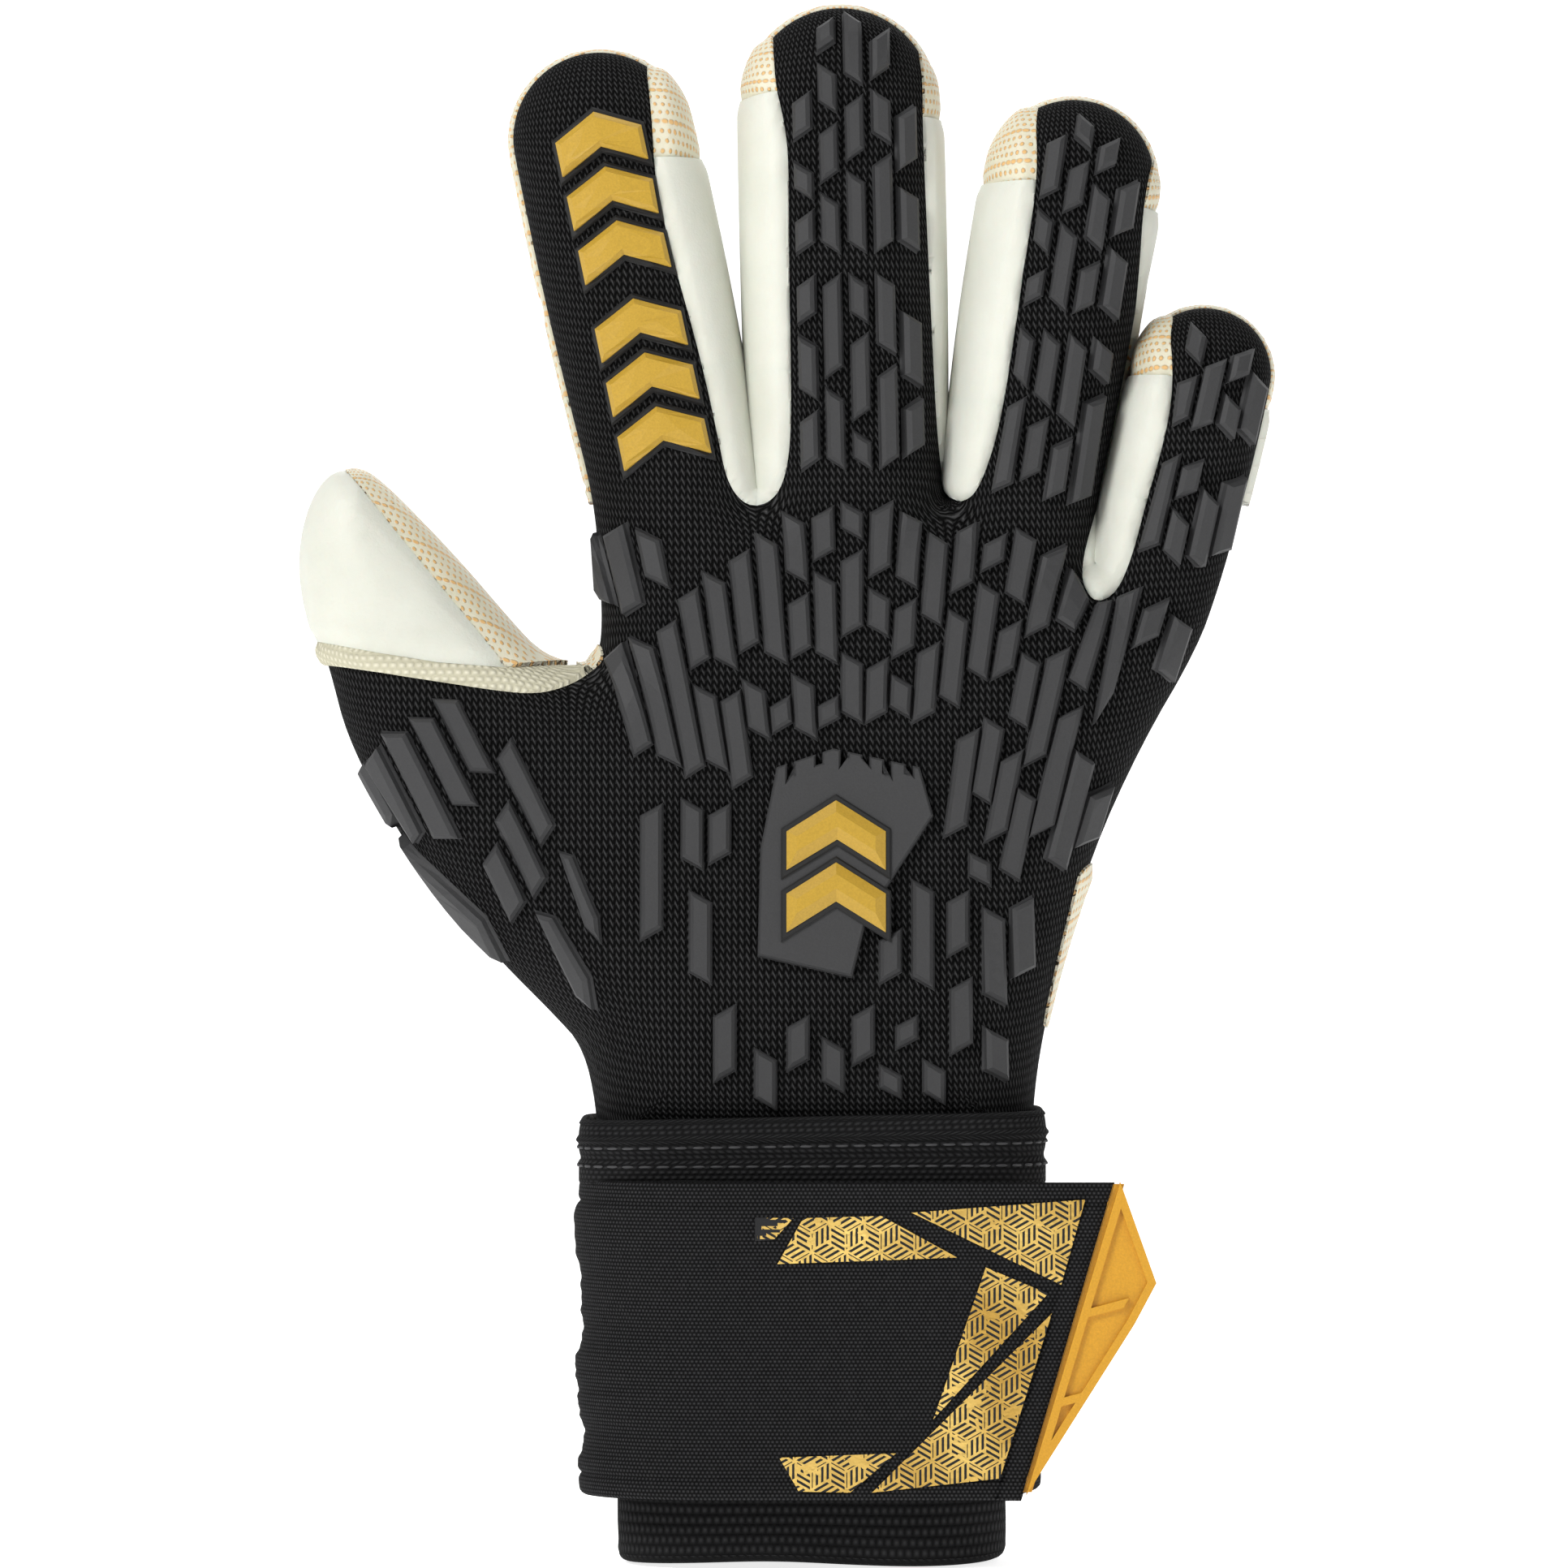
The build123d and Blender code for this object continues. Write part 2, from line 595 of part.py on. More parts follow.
ring(0, HAND_LOW, CUFF_SIZE, (CUFF_SIZE[0] - 2 * CUFF_WALL, CUFF_SIZE[1] - 2 * CUFF_WALL), 20, 17, "cuff_sleeve")
ring(72.2, 83.5, (88.0, 55.0), (82.4, 50.6), 13, 9.5, "wrist_band")
ring(STRAP_LOW, STRAP_HIGH, STRAP_OUTER, STRAP_INNER, 22, 20.5, "strap_first_turn")

back_y = -STRAP_OUTER[1] / 2
with BuildPart() as loop_patch:
    with Locations((5, back_y - LAYER / 2, (STRAP_LOW + STRAP_HIGH) / 2)):
        Box(32, LAYER, STRAP_HIGH - STRAP_LOW - 8)
keep(loop_patch.part, "loop_patch")

strap_face = back_y - LAYER - 2 * GAP - LAYER
STRAP_THICK = 2.6
with BuildPart() as strap_second_turn:
    with BuildSketch(Plane.XY.offset(STRAP_LOW + 1)):
        with BuildLine():
            Polyline((PEEL_X - GAP, 0), (PEEL_X - GAP, strap_face - STRAP_THICK), (-22, strap_face - STRAP_THICK))
            Spline((-22, strap_face - STRAP_THICK), (-36.5, -28), (-43.6, -10), tangents=((-1, 0.1), (0, 1)))
            Polyline((-43.6, -10), (-42.4, -4), (PEEL_X - GAP, 0))
        make_face()
        RectangleRounded(*STRAP_OUTER, 22, mode=Mode.SUBTRACT)
    extrude(amount=STRAP_HIGH - STRAP_LOW - 2)
keep(strap_second_turn.part, "strap_second_turn")


def strap_slab(outline, y, thickness):
    """A flat piece of the strap's free end, from depth y outwards."""
    with BuildPart() as solid:
        with BuildSketch(Plane.XZ.offset(-y)):
            with BuildLine():
                Polyline(*outline, close=True)
            make_face()
        extrude(amount=thickness)
    return solid.part


strap_end = strap_slab([(PEEL_X + GAP, STRAP_LOW), (STRAP_TIP_LOW, STRAP_LOW + 1.2), (STRAP_TIP_HIGH, STRAP_HIGH),
                        (PEEL_X + GAP, STRAP_HIGH)], strap_face, STRAP_THICK)
keep(strap_end, "strap_end")
hook_patch = strap_slab([(-6, STRAP_LOW + 6), (20, STRAP_LOW + 6), (20, STRAP_HIGH - 6), (-6, STRAP_HIGH - 6)],
                        back_y - LAYER - 2 * GAP, LAYER)
keep(hook_patch, "hook_patch")

with BuildPart() as foil_print:
    with BuildSketch(Plane.XZ.offset(-(strap_face - STRAP_THICK))):
        for corners in FOIL:
            with BuildLine():
                Polyline(*corners, close=True)
            make_face()
    extrude(amount=0.25)
keep(foil_print.part, "foil_print")

TAB_GAP = 1.7
TAB = [(STRAP_TIP_LOW + TAB_GAP, STRAP_LOW + 1.2), (STRAP_TIP_HIGH + TAB_GAP, STRAP_HIGH), (63.0, 52.5), (59.0, 45.0)]
tab_y = strap_face - 0.2
with BuildPart() as pull_tab:
    add(strap_slab(TAB, tab_y, 1.6))
    with BuildSketch(Plane.XZ.offset(-(tab_y - 1.6))):
        with BuildLine():
            Polyline(*TAB, close=True)
        make_face()
        with BuildSketch(mode=Mode.PRIVATE) as field:
            with BuildLine():
                Polyline(*TAB, close=True)
            make_face()
            offset(amount=-1.5, kind=Kind.INTERSECTION)
        add(field.sketch, mode=Mode.SUBTRACT)
        for z in (29, 44):
            with BuildLine():
                Polyline((42, z), (43, z + 1.8), (58, z + 5.8), (57, z + 4.0), close=True)
            make_face()
        with BuildLine():
            Polyline(*TAB, close=True)
        make_face(mode=Mode.INTERSECT)
    extrude(amount=0.9)
keep(pull_tab.part, "pull_tab")

os.makedirs("parts", exist_ok=True)
for piece in made:
    export_step(piece, f"parts/{piece.label}.step")
print(len(made), "nodes")
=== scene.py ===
"""A goalkeeper glove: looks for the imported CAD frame.

The soft skin is one pillow-shaped surface grown from the glove's outline. It is cut along the edges of the fabric and
latex into panels, each panel stands at its own height, and each is cut again where a joint needs it to bend. Rubber
bars, chevrons and the foil print take their outlines from the CAD nodes and are laid on that skin.
Lengths are millimetres up to the point where a mesh is made. X is to the right, -Y is out of the back of the hand.
"""

from collections import namedtuple
from math import cos, pi, radians, sin, tan

import bmesh
import bpy
import numpy as np
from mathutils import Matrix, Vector


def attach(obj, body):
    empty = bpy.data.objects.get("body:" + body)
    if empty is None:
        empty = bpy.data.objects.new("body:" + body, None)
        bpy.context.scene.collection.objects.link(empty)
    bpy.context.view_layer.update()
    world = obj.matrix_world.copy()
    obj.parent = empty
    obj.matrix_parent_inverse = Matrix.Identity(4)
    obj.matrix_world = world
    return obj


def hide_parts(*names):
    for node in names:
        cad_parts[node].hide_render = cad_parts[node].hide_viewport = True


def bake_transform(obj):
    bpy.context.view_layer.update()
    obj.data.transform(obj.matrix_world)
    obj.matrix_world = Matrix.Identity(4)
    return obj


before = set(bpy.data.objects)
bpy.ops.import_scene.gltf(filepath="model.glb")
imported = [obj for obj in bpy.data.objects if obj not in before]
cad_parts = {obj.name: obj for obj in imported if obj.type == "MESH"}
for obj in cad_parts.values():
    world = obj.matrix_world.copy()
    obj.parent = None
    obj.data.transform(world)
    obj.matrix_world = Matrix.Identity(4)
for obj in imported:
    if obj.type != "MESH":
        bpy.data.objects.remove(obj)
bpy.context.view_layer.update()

# ---- The glove's plan ---------------------------------------------------------------------------------------------

Finger = namedtuple("Finger", "name x z tilt length base_width mid_width half joint wrap")
FINGERS = [
    Finger("index", -25.2, 197.0, -12.0, 84.5, 30.0, 32.5, 13.5, 40.0, 23.0),
    Finger("middle", 7.2, 197.0, -1.4, 91.3, 34.0, 34.5, 14.0, 43.0, 16.0),
    Finger("ring", 38.6, 192.0, 9.0, 80.0, 27.0, 30.5, 13.5, 38.0, 18.0),
    Finger("pinky", 63.9, 180.0, 13.0, 53.5, 23.0, 25.0, 12.5, 27.0, 16.0),
]
KNUCKLE = 4.0

THUMB_SIDE = [(-39.5, 72), (-40, 84), (-42.5, 95), (-48, 101), (-57, 110), (-69, 123), (-80, 140), (-86.5, 153),
              (-89.3, 164), (-91.5, 171), (-93.8, 180), (-94, 188), (-92, 196), (-88.5, 200.8), (-84.7, 201.4),
              (-81, 198.9), (-74.5, 192.5), (-66, 183.5), (-58.5, 174.7), (-52.5, 168), (-47.5, 165.3),
              (-42.5, 164.8), (-39.6, 167.5), (-38.9, 174), (-39.5, 184)]
OUTER_SIDE = [(71.8, 169), (61.3, 151), (52.2, 131), (46, 110), (42.8, 96), (41.2, 84), (41, 72)]
WEBS = [(-10.2, 198.3), (24.9, 197.0), (52.4, 184.0)]

# The edge of the black fabric, from the wrist round the thumb and over the webs between the fingers.
THUMB_EDGE = [(-60, 60), (-110, 100), (-100, 166.6), (-90, 166.3), (-80, 164.4), (-69, 162.7), (-58, 161.0),
              (-51, 160.4), (-46, 161.6), (-42, 163.6), (-37, 168), (-46, 176), (-52, 200), (-66, 300)]
WEB_EDGES = [
    [(-28, 300), (-31.0, 279.8), (-29.6, 267.8), (-29.1, 257.3), (-27.8, 249.8), (-24.8, 237.8), (-21.8, 227.3),
     (-19.2, 216.8), (-17.3, 207.8), (-15.8, 200.3), (-13.4, 196.4), (-10.4, 195.0), (-7.0, 196.5), (-4.9, 200.3),
     (-3.8, 207.8), (-3.8, 221.3), (-4.2, 239.3), (-4.2, 258.8), (-5.0, 266.3), (-7.2, 275.3), (-7.2, 300)],
    [(18.6, 300), (19.8, 280), (20.6, 274.5), (20.6, 266), (21.0, 256), (21.4, 246.8), (21.9, 236.3),
     (22.5, 224.3), (23.1, 212.3), (23.9, 203.3), (24.9, 198.5), (27.0, 195.8), (29.9, 197.0), (31.9, 200.8),
     (34.2, 207.8), (36.0, 216.8), (37.8, 228.8), (39.3, 239.3), (41.2, 251.3), (41.8, 258.8), (41.5, 267),
     (42.6, 271), (42.6, 300)],
    [(70, 300), (63.9, 262), (61.6, 252), (60.9, 239.3), (59.7, 225.8), (57.8, 213.8), (55.3, 201.8),
     (52.3, 192.8), (50.2, 185.3), (50.2, 180.3), (52.8, 177.1), (56.6, 179.3), (59.4, 186), (61.9, 195.8),
     (64.6, 204.8), (66.6, 213.8), (66.9, 221.3), (66.4, 227), (67.5, 231.5), (68, 300)],
]
OUTER_EDGE = [(120, 260), (100, 160), (70, 131.4), (50.2, 130.2), (48.2, 122.3), (46.0, 113.3), (43.6, 103.0),
              (42.6, 97.0), (60, 92), (60, 60)]

PILLOW = 15.0               # the edges round off over this distance
SQUARENESS = 2.35
STEP = 1.25


def along(f, u, s):
    """A point on a finger: u across it, s along it from its base."""
    t = radians(f.tilt)
    return f.x + u * cos(t) + s * sin(t), f.z - u * sin(t) + s * cos(t)


def local(f, x, z):
    """The (u, s) of a point of the plan on a finger."""
    t = radians(f.tilt)
    return (x - f.x) * cos(t) - (z - f.z) * sin(t), (x - f.x) * sin(t) + (z - f.z) * cos(t)


def finger_outline(f):
    """Left side, round tip and right side of a finger."""
    base, mid = f.base_width / 2, f.mid_width / 2
    left = [(-base, 3), (-base - (mid - base) * 0.6, f.joint * 0.55), (-mid, f.joint + 2), (-mid + 0.1, f.length - mid)]
    tip = [(-mid * cos(a), f.length - mid + mid * sin(a)) for a in np.linspace(0.25, pi - 0.25, 11)]
    right = [(-u, s) for u, s in reversed(left)]
    return [along(f, u, s) for u, s in left + tip + right]


def rounded(points, passes=2):
    """Corner cutting of a closed outline."""
    p = np.array(points, float)
    for _ in range(passes):
        q = np.roll(p, -1, axis=0)
        p = np.stack([0.75 * p + 0.25 * q, 0.25 * p + 0.75 * q], axis=1).reshape(-1, 2)
    return p


plan = list(THUMB_SIDE)
for number, finger in enumerate(FINGERS):
    plan += finger_outline(finger)
    if number < 3:
        plan.append(WEBS[number])
plan += OUTER_SIDE
SILHOUETTE = rounded(plan)
BLACK = rounded(THUMB_EDGE + sum(WEB_EDGES, []) + OUTER_EDGE)


def outline_distance(polygon, x, z):
    """Signed distance to a closed outline, negative inside, and its gradient."""
    x, z = np.ravel(x), np.ravel(z)
    a, b = polygon, np.roll(polygon, -1, axis=0)
    best = np.full(x.shape, 1e18)
    gx, gz = np.zeros_like(x), np.zeros_like(x)
    sx, sz = np.zeros_like(x), np.zeros_like(x)     # the nearest side's own outward normal
    turned = 1.0 if (a[:, 0] * b[:, 1] - b[:, 0] * a[:, 1]).sum() > 0 else -1.0
    inside = np.zeros(x.shape, bool)
    for (ax, az), (bx, bz) in zip(a, b):
        ex, ez = bx - ax, bz - az
        t = np.clip(((x - ax) * ex + (z - az) * ez) / (ex * ex + ez * ez + 1e-12), 0, 1)
        dx, dz = x - ax - t * ex, z - az - t * ez
        d = dx * dx + dz * dz
        near = d < best
        best, gx, gz = np.where(near, d, best), np.where(near, dx, gx), np.where(near, dz, gz)
        side = turned / (np.hypot(ex, ez) + 1e-12)
        sx, sz = np.where(near, ez * side, sx), np.where(near, -ex * side, sz)
        crosses = (az > z) != (bz > z)
        with np.errstate(divide="ignore", invalid="ignore"):
            at = ax + (z - az) / (bz - az + 1e-18) * ex
        inside ^= crosses & (x < at)
    length = np.sqrt(best)
    sign = np.where(inside, -1.0, 1.0)
    scale = sign / np.maximum(length, 1e-9)
    on_it = length < 0.03
    return sign * length, np.where(on_it, sx, gx * scale), np.where(on_it, sz, gz * scale)


def smooth(t):
    t = np.clip(t, 0, 1)
    return t * t * (3 - 2 * t)


def half_depth(x, z):
    """Half of the glove's depth where the plan is deepest."""
    h = 14.0 + 10.6 * smooth((196 - z) / 150) ** 0.9
    for f in FINGERS:
        u, s = local(f, x, z)
        nearness = smooth((s + 16) / 22) * smooth(1.6 - np.abs(u) / (f.mid_width * 0.5 + 1))
        h = h + (f.half - h) * nearness
        h = h - 1.0 * nearness * smooth((s - f.joint) / (f.length - f.joint))
    thumb = smooth((-38 - x) / 16) * smooth((206 - z) / 8)
    h = h + (16.2 - 3.0 * smooth((z - 150) / 40) - h) * thumb
    return h


def edge_reach(z):
    return PILLOW + 4.0 * smooth((150 - z) / 70)


def surface(x, z):
    """Depth of the back of the glove at points of the plan, and the outward normal there."""
    shape = np.shape(x)
    x, z = np.ravel(np.asarray(x, float)), np.ravel(np.asarray(z, float))
    d, gx, gz = outline_distance(SILHOUETTE, x, z)
    outside = np.maximum(d + 0.9, 0)
    x, z, d = x - gx * outside, z - gz * outside, np.minimum(d, -0.9)
    h, reach = half_depth(x, z), edge_reach(z)
    a = np.clip((d + reach) / reach, 0, 0.999)
    b = (1 - a ** SQUARENESS) ** (1 / SQUARENESS)
    y = -h * b
    e = 0.4
    hx = (half_depth(x + e, z) - half_depth(x - e, z)) / (2 * e)
    hz = (half_depth(x, z + e) - half_depth(x, z - e)) / (2 * e)
    n = np.stack([a ** (SQUARENESS - 1) * gx / reach - b ** SQUARENESS * hx / h,
                  -b ** (SQUARENESS - 1) / h,
                  a ** (SQUARENESS - 1) * gz / reach - b ** SQUARENESS * hz / h], axis=1)
    n /= np.linalg.norm(n, axis=1)[:, None]
    return np.stack([x, y, z], axis=1).reshape(shape + (3,)), n.reshape(shape + (3,))


def field(p):
    """The skin's implicit function and its gradient at points p."""
    x, y, z = p.T
    d, gx, gz = outline_distance(SILHOUETTE, x, z)
    h, reach = half_depth(x, z), edge_reach(z)
    a, b = np.maximum((d + reach) / reach, 0), np.abs(y) / h
    s = np.maximum(a ** SQUARENESS + b ** SQUARENESS, 1e-9)
    outer = s ** (1 / SQUARENESS - 1)
    e = 0.4
    hx = (half_depth(x + e, z) - half_depth(x - e, z)) / (2 * e)
    hz = (half_depth(x, z + e) - half_depth(x, z - e)) / (2 * e)
    da, db = outer * a ** (SQUARENESS - 1), outer * b ** (SQUARENESS - 1)
    g = np.stack([da * gx / reach - db * b / h * hx, db * np.sign(y) / h, da * gz / reach - db * b / h * hz], axis=1)
    return s ** (1 / SQUARENESS) - 1, g


# ---- Growing and cutting the skin ---------------------------------------------------------------------------------


def grow_skin():
    """The skin as vertices and triangles: a surface net round the field, drawn on to the surface."""
    xs = np.arange(-97, 90, STEP)
    ys = np.arange(-27.5, 28.5, STEP)
    zs = np.arange(72.3, 292, STEP)
    gx, gz = np.meshgrid(xs, zs, indexing="ij")
    d, _, _ = outline_distance(SILHOUETTE, gx, gz)
    d = d.reshape(gx.shape)
    h, reach = half_depth(gx, gz), edge_reach(gz)
    a = np.maximum((d + reach) / reach, 0)[:, None, :]
    b = (np.abs(ys)[None, :, None] / h[:, None, :])
    f = (a ** SQUARENESS + b ** SQUARENESS) ** (1 / SQUARENESS) - 1
    f[:, :, 0] = np.maximum(f[:, :, 0], 0.01)
    inside = f < 0
    corner = {(i, j, k): f[i:f.shape[0] - 1 + i, j:f.shape[1] - 1 + j, k:f.shape[2] - 1 + k]
              for i in (0, 1) for j in (0, 1) for k in (0, 1)}
    total = np.zeros(corner[0, 0, 0].shape + (3,))
    count = np.zeros(corner[0, 0, 0].shape)
    for axis in range(3):
        for i in (0, 1):
            for j in (0, 1):
                low = [i, j]
                low.insert(axis, 0)
                high = [i, j]
                high.insert(axis, 1)
                fa, fb = corner[tuple(low)], corner[tuple(high)]
                cross = (fa < 0) != (fb < 0)
                t = np.where(cross, fa / np.where(cross, fa - fb, 1), 0)
                where = np.zeros(total.shape)
                for k in range(3):
                    where[..., k] = low[k]
                where[..., axis] = t
                total += where * cross[..., None]
                count += cross
    used = count > 0
    number = np.full(used.shape, -1)
    number[used] = np.arange(used.sum())
    cell = np.argwhere(used)
    p = np.array([xs[0], ys[0], zs[0]]) + STEP * (cell + total[used] / count[used][:, None])
    quads = []
    for axis in range(3):
        lo = [slice(1, -1)] * 3
        lo[axis] = slice(0, -1)
        hi = list(lo)
        hi[axis] = slice(1, None)
        a0, b0 = inside[tuple(lo)], inside[tuple(hi)]
        cross = np.argwhere(a0 != b0)
        flip = a0[tuple(cross.T)]
        base = cross.copy()
        for k in range(3):
            if k != axis:
                base[:, k] += 1
        u, v = [k for k in range(3) if k != axis]
        ring = []
        for du, dv in ((-1, -1), (0, -1), (0, 0), (-1, 0)):
            c = base.copy()
            c[:, u] += du
            c[:, v] += dv
            ring.append(number[tuple(c.T)])
        q = np.stack(ring, axis=1)
        turn = flip if axis != 1 else ~flip
        q[~turn] = q[~turn][:, ::-1]
        quads.append(q)
    quads = np.concatenate(quads)
    quads = quads[(quads >= 0).all(axis=1)]
    for _ in range(4):
        value, g = field(p)
        g2 = np.maximum((g * g).sum(axis=1), 1e-4)
        p = p - g * (np.clip(value, -0.3, 0.3) / g2)[:, None]
    p[:, 2] = np.maximum(p[:, 2], 72.3)
    quads = quads[~(p[quads, 2] < 72.6).all(axis=1)]     # open at the wrist
    tris = np.concatenate([quads[:, [0, 1, 2]], quads[:, [0, 2, 3]]])
    _, g = field(p)
    n = g / np.linalg.norm(g, axis=1)[:, None]
    face = np.cross(p[tris[:, 1]] - p[tris[:, 0]], p[tris[:, 2]] - p[tris[:, 0]])
    if (face * n[tris[:, 0]]).sum() < 0:
        tris = tris[:, ::-1]
    return p, n, tris


def cut(p, tris, value):
    """Cuts triangles along value = 0. Gives new points, and the triangles where value is below and above zero."""
    value = np.where(np.abs(value) < 1e-5, 1e-5, value)
    side = value[tris] < 0
    count = side.sum(axis=1)
    added, made, below, above = [], {}, [], []

    def between(a, b):
        key = (a, b) if a < b else (b, a)
        if key not in made:
            t = value[key[0]] / (value[key[0]] - value[key[1]])
            made[key] = len(p) + len(added)
            added.append(p[key[0]] * (1 - t) + p[key[1]] * t)
        return made[key]

    crossing = (count == 1) | (count == 2)
    for tri, s, c in zip(tris[crossing].tolist(), side[crossing].tolist(), count[crossing].tolist()):
        lone = s.index(c == 1)
        a, b, e = tri[lone], tri[(lone + 1) % 3], tri[(lone + 2) % 3]
        ab, ae = between(a, b), between(a, e)
        one, two = [(a, ab, ae)], [(ab, b, e), (ab, e, ae)]
        (below if c == 1 else above).extend(one)
        (above if c == 1 else below).extend(two)
    points = np.concatenate([p, np.array(added).reshape(-1, 3)])
    return (points, np.concatenate([tris[count == 3], np.array(below, int).reshape(-1, 3)]),
            np.concatenate([tris[count == 0], np.array(above, int).reshape(-1, 3)]))


def compact(p, tris, *extra):
    """Keeps only the points that the triangles use."""
    used = np.unique(tris)
    back = np.full(len(p), -1)
    back[used] = np.arange(len(used))
    return (p[used], back[tris]) + tuple(e[used] for e in extra)


def vertex_normals(p, tris):
    face = np.cross(p[tris[:, 1]] - p[tris[:, 0]], p[tris[:, 2]] - p[tris[:, 0]])
    n = np.zeros_like(p)
    for k in range(3):
        np.add.at(n, tris[:, k], face)
    return n / np.maximum(np.linalg.norm(n, axis=1), 1e-9)[:, None]


def mesh_object(name, p, faces, material, normals=None, smooth_shading=True):
    """A mesh from points in millimetres."""
    mesh = bpy.data.meshes.new(name)
    mesh.from_pydata((np.asarray(p) * 0.001).tolist(), [], [tuple(int(i) for i in f) for f in faces])
    mesh.polygons.foreach_set("use_smooth", [smooth_shading] * len(mesh.polygons))
    mesh.update()
    piece = bpy.data.objects.new(name, mesh)
    bpy.context.scene.collection.objects.link(piece)
    mesh.materials.append(material)
    if normals is not None:
        mesh.normals_split_custom_set_from_vertices(normals.tolist())
    return piece


def skirted(p, tris, n, down, deep):
    """Turns a panel's open edges inwards, against down, so that the panel has a visible thickness."""
    edges = np.concatenate([tris[:, [0, 1]], tris[:, [1, 2]], tris[:, [2, 0]]])
    key = np.sort(edges, axis=1)
    order = key[:, 0] * (len(p) + 1) + key[:, 1]
    _, first, counts = np.unique(order, return_index=True, return_counts=True)
    border = edges[first[counts == 1]]
    start = len(p)
    points = np.concatenate([p, p[border[:, 0]] - down[border[:, 0]] * deep, p[border[:, 1]] - down[border[:, 1]] * deep])
    m = len(border)
    k = np.arange(m)
    quads = np.stack([border[:, 1], border[:, 0], start + k, start + m + k], axis=1)
    normals = np.concatenate([n, n[border[:, 0]], n[border[:, 1]]])
    return points, [tuple(t) for t in tris] + [tuple(q) for q in quads], normals


# ---- Materials ----------------------------------------------------------------------------------------------------


class Shader:
    """A Principled material and short ways to write its node network."""

    def __init__(self, name, base, roughness, **more):
        self.material = bpy.data.materials.new(name)
        self.material.use_nodes = True
        self.tree = self.material.node_tree
        self.main = self.tree.nodes["Principled BSDF"]
        self.main.inputs["Base Color"].default_value = (*base, 1)
        self.main.inputs["Roughness"].default_value = roughness
        for key, value in more.items():
            self.main.inputs[key.replace("_", " ")].default_value = value

    def node(self, kind, **settings):
        node = self.tree.nodes.new(kind)
        for key, value in settings.items():
            setattr(node, key, value)
        return node

    def feed(self, socket, value):
        if isinstance(value, (int, float)):
            socket.default_value = value
        elif isinstance(value, (tuple, list)):
            socket.default_value = value
        else:
            self.tree.links.new(value, socket)

    def math(self, operation, *values, clamp=False):
        node = self.node("ShaderNodeMath", operation=operation, use_clamp=clamp)
        for socket, value in zip(node.inputs, values):
            self.feed(socket, value)
        return node.outputs[0]

    def wave(self, value):
        """A sine of one period for each unit of value, from 0 to 1."""
        return self.math("MULTIPLY_ADD", self.math("SINE", self.math("MULTIPLY", value, 2 * pi)), 0.5, 0.5)

    def plan(self, sx, sz, turn=0.0):
        """The rest plan's two coordinates, in cells of sx by sz millimetres."""
        uv = self.node("ShaderNodeUVMap", uv_map="plan")
        split = self.node("ShaderNodeSeparateXYZ")
        self.tree.links.new(uv.outputs[0], split.inputs[0])
        x, z = split.outputs[0], split.outputs[1]
        if turn:
            c, s = cos(radians(turn)), sin(radians(turn))
            x, z = (self.math("ADD", self.math("MULTIPLY", x, c), self.math("MULTIPLY", z, s)),
                    self.math("SUBTRACT", self.math("MULTIPLY", z, c), self.math("MULTIPLY", x, s)))
        return self.math("MULTIPLY", x, 1000 / sx), self.math("MULTIPLY", z, 1000 / sz)

    def noise(self, scale, detail=3.0, roughness=0.55):
        place = self.node("ShaderNodeTexCoord")
        node = self.node("ShaderNodeTexNoise")
        self.tree.links.new(place.outputs["Object"], node.inputs["Vector"])
        node.inputs["Scale"].default_value = scale
        node.inputs["Detail"].default_value = detail
        node.inputs["Roughness"].default_value = roughness
        return node.outputs["Fac"]

    def ramp(self, value, low, high):
        node = self.node("ShaderNodeMapRange")
        node.inputs["From Min"].default_value = low
        node.inputs["From Max"].default_value = high
        self.feed(node.inputs["Value"], value)
        return node.outputs["Result"]

    def mix(self, factor, a, b):
        node = self.node("ShaderNodeMix", data_type="RGBA")
        self.feed(node.inputs[0], factor)
        for socket, value in ((node.inputs[6], a), (node.inputs[7], b)):
            self.feed(socket, (*value, 1) if isinstance(value, tuple) else value)
        return node.outputs[2]

    def colour(self, value):
        self.feed(self.main.inputs["Base Color"], value)

    def bump(self, height, distance, strength=1.0):
        node = self.node("ShaderNodeBump")
        node.inputs["Strength"].default_value = strength
        node.inputs["Distance"].default_value = distance
        self.feed(node.inputs["Height"], height)
        if self.main.inputs["Normal"].is_linked:
            self.tree.links.new(self.main.inputs["Normal"].links[0].from_socket, node.inputs["Normal"])
        self.tree.links.new(node.outputs[0], self.main.inputs["Normal"])


def knit(name, base, light, pitch_x, pitch_z, depth):
    """A knit of upright chevrons: columns of V stitches. Its colour follows the stitch height: painted shade in the
    gaps between them, a painted highlight on the raised yarn.
    """
    s = Shader(name, base, 0.95, Specular_IOR_Level=0.08)
    x, z = s.plan(pitch_x, pitch_z)
    column = s.math("PINGPONG", x, 0.5)
    stitch = s.wave(s.math("ADD", z, s.math("MULTIPLY", column, 1.3)))
    rib = s.math("POWER", s.wave(x), 0.6)
    height = s.math("MULTIPLY", stitch, rib)
    fuzz = s.noise(900)
    height = s.math("ADD", height, s.math("MULTIPLY", fuzz, 0.35))
    # Painted light: the colour ramps with stitch height (and its random fuzz), from base as painted shade in the gaps
    # to light as a painted highlight on the raised yarn.
    s.colour(s.mix(s.ramp(height, 0.25, 1.25), base, light))
    s.bump(height, depth)
    s.bump(s.noise(34, 2), 0.0035, 0.5)
    return s.material


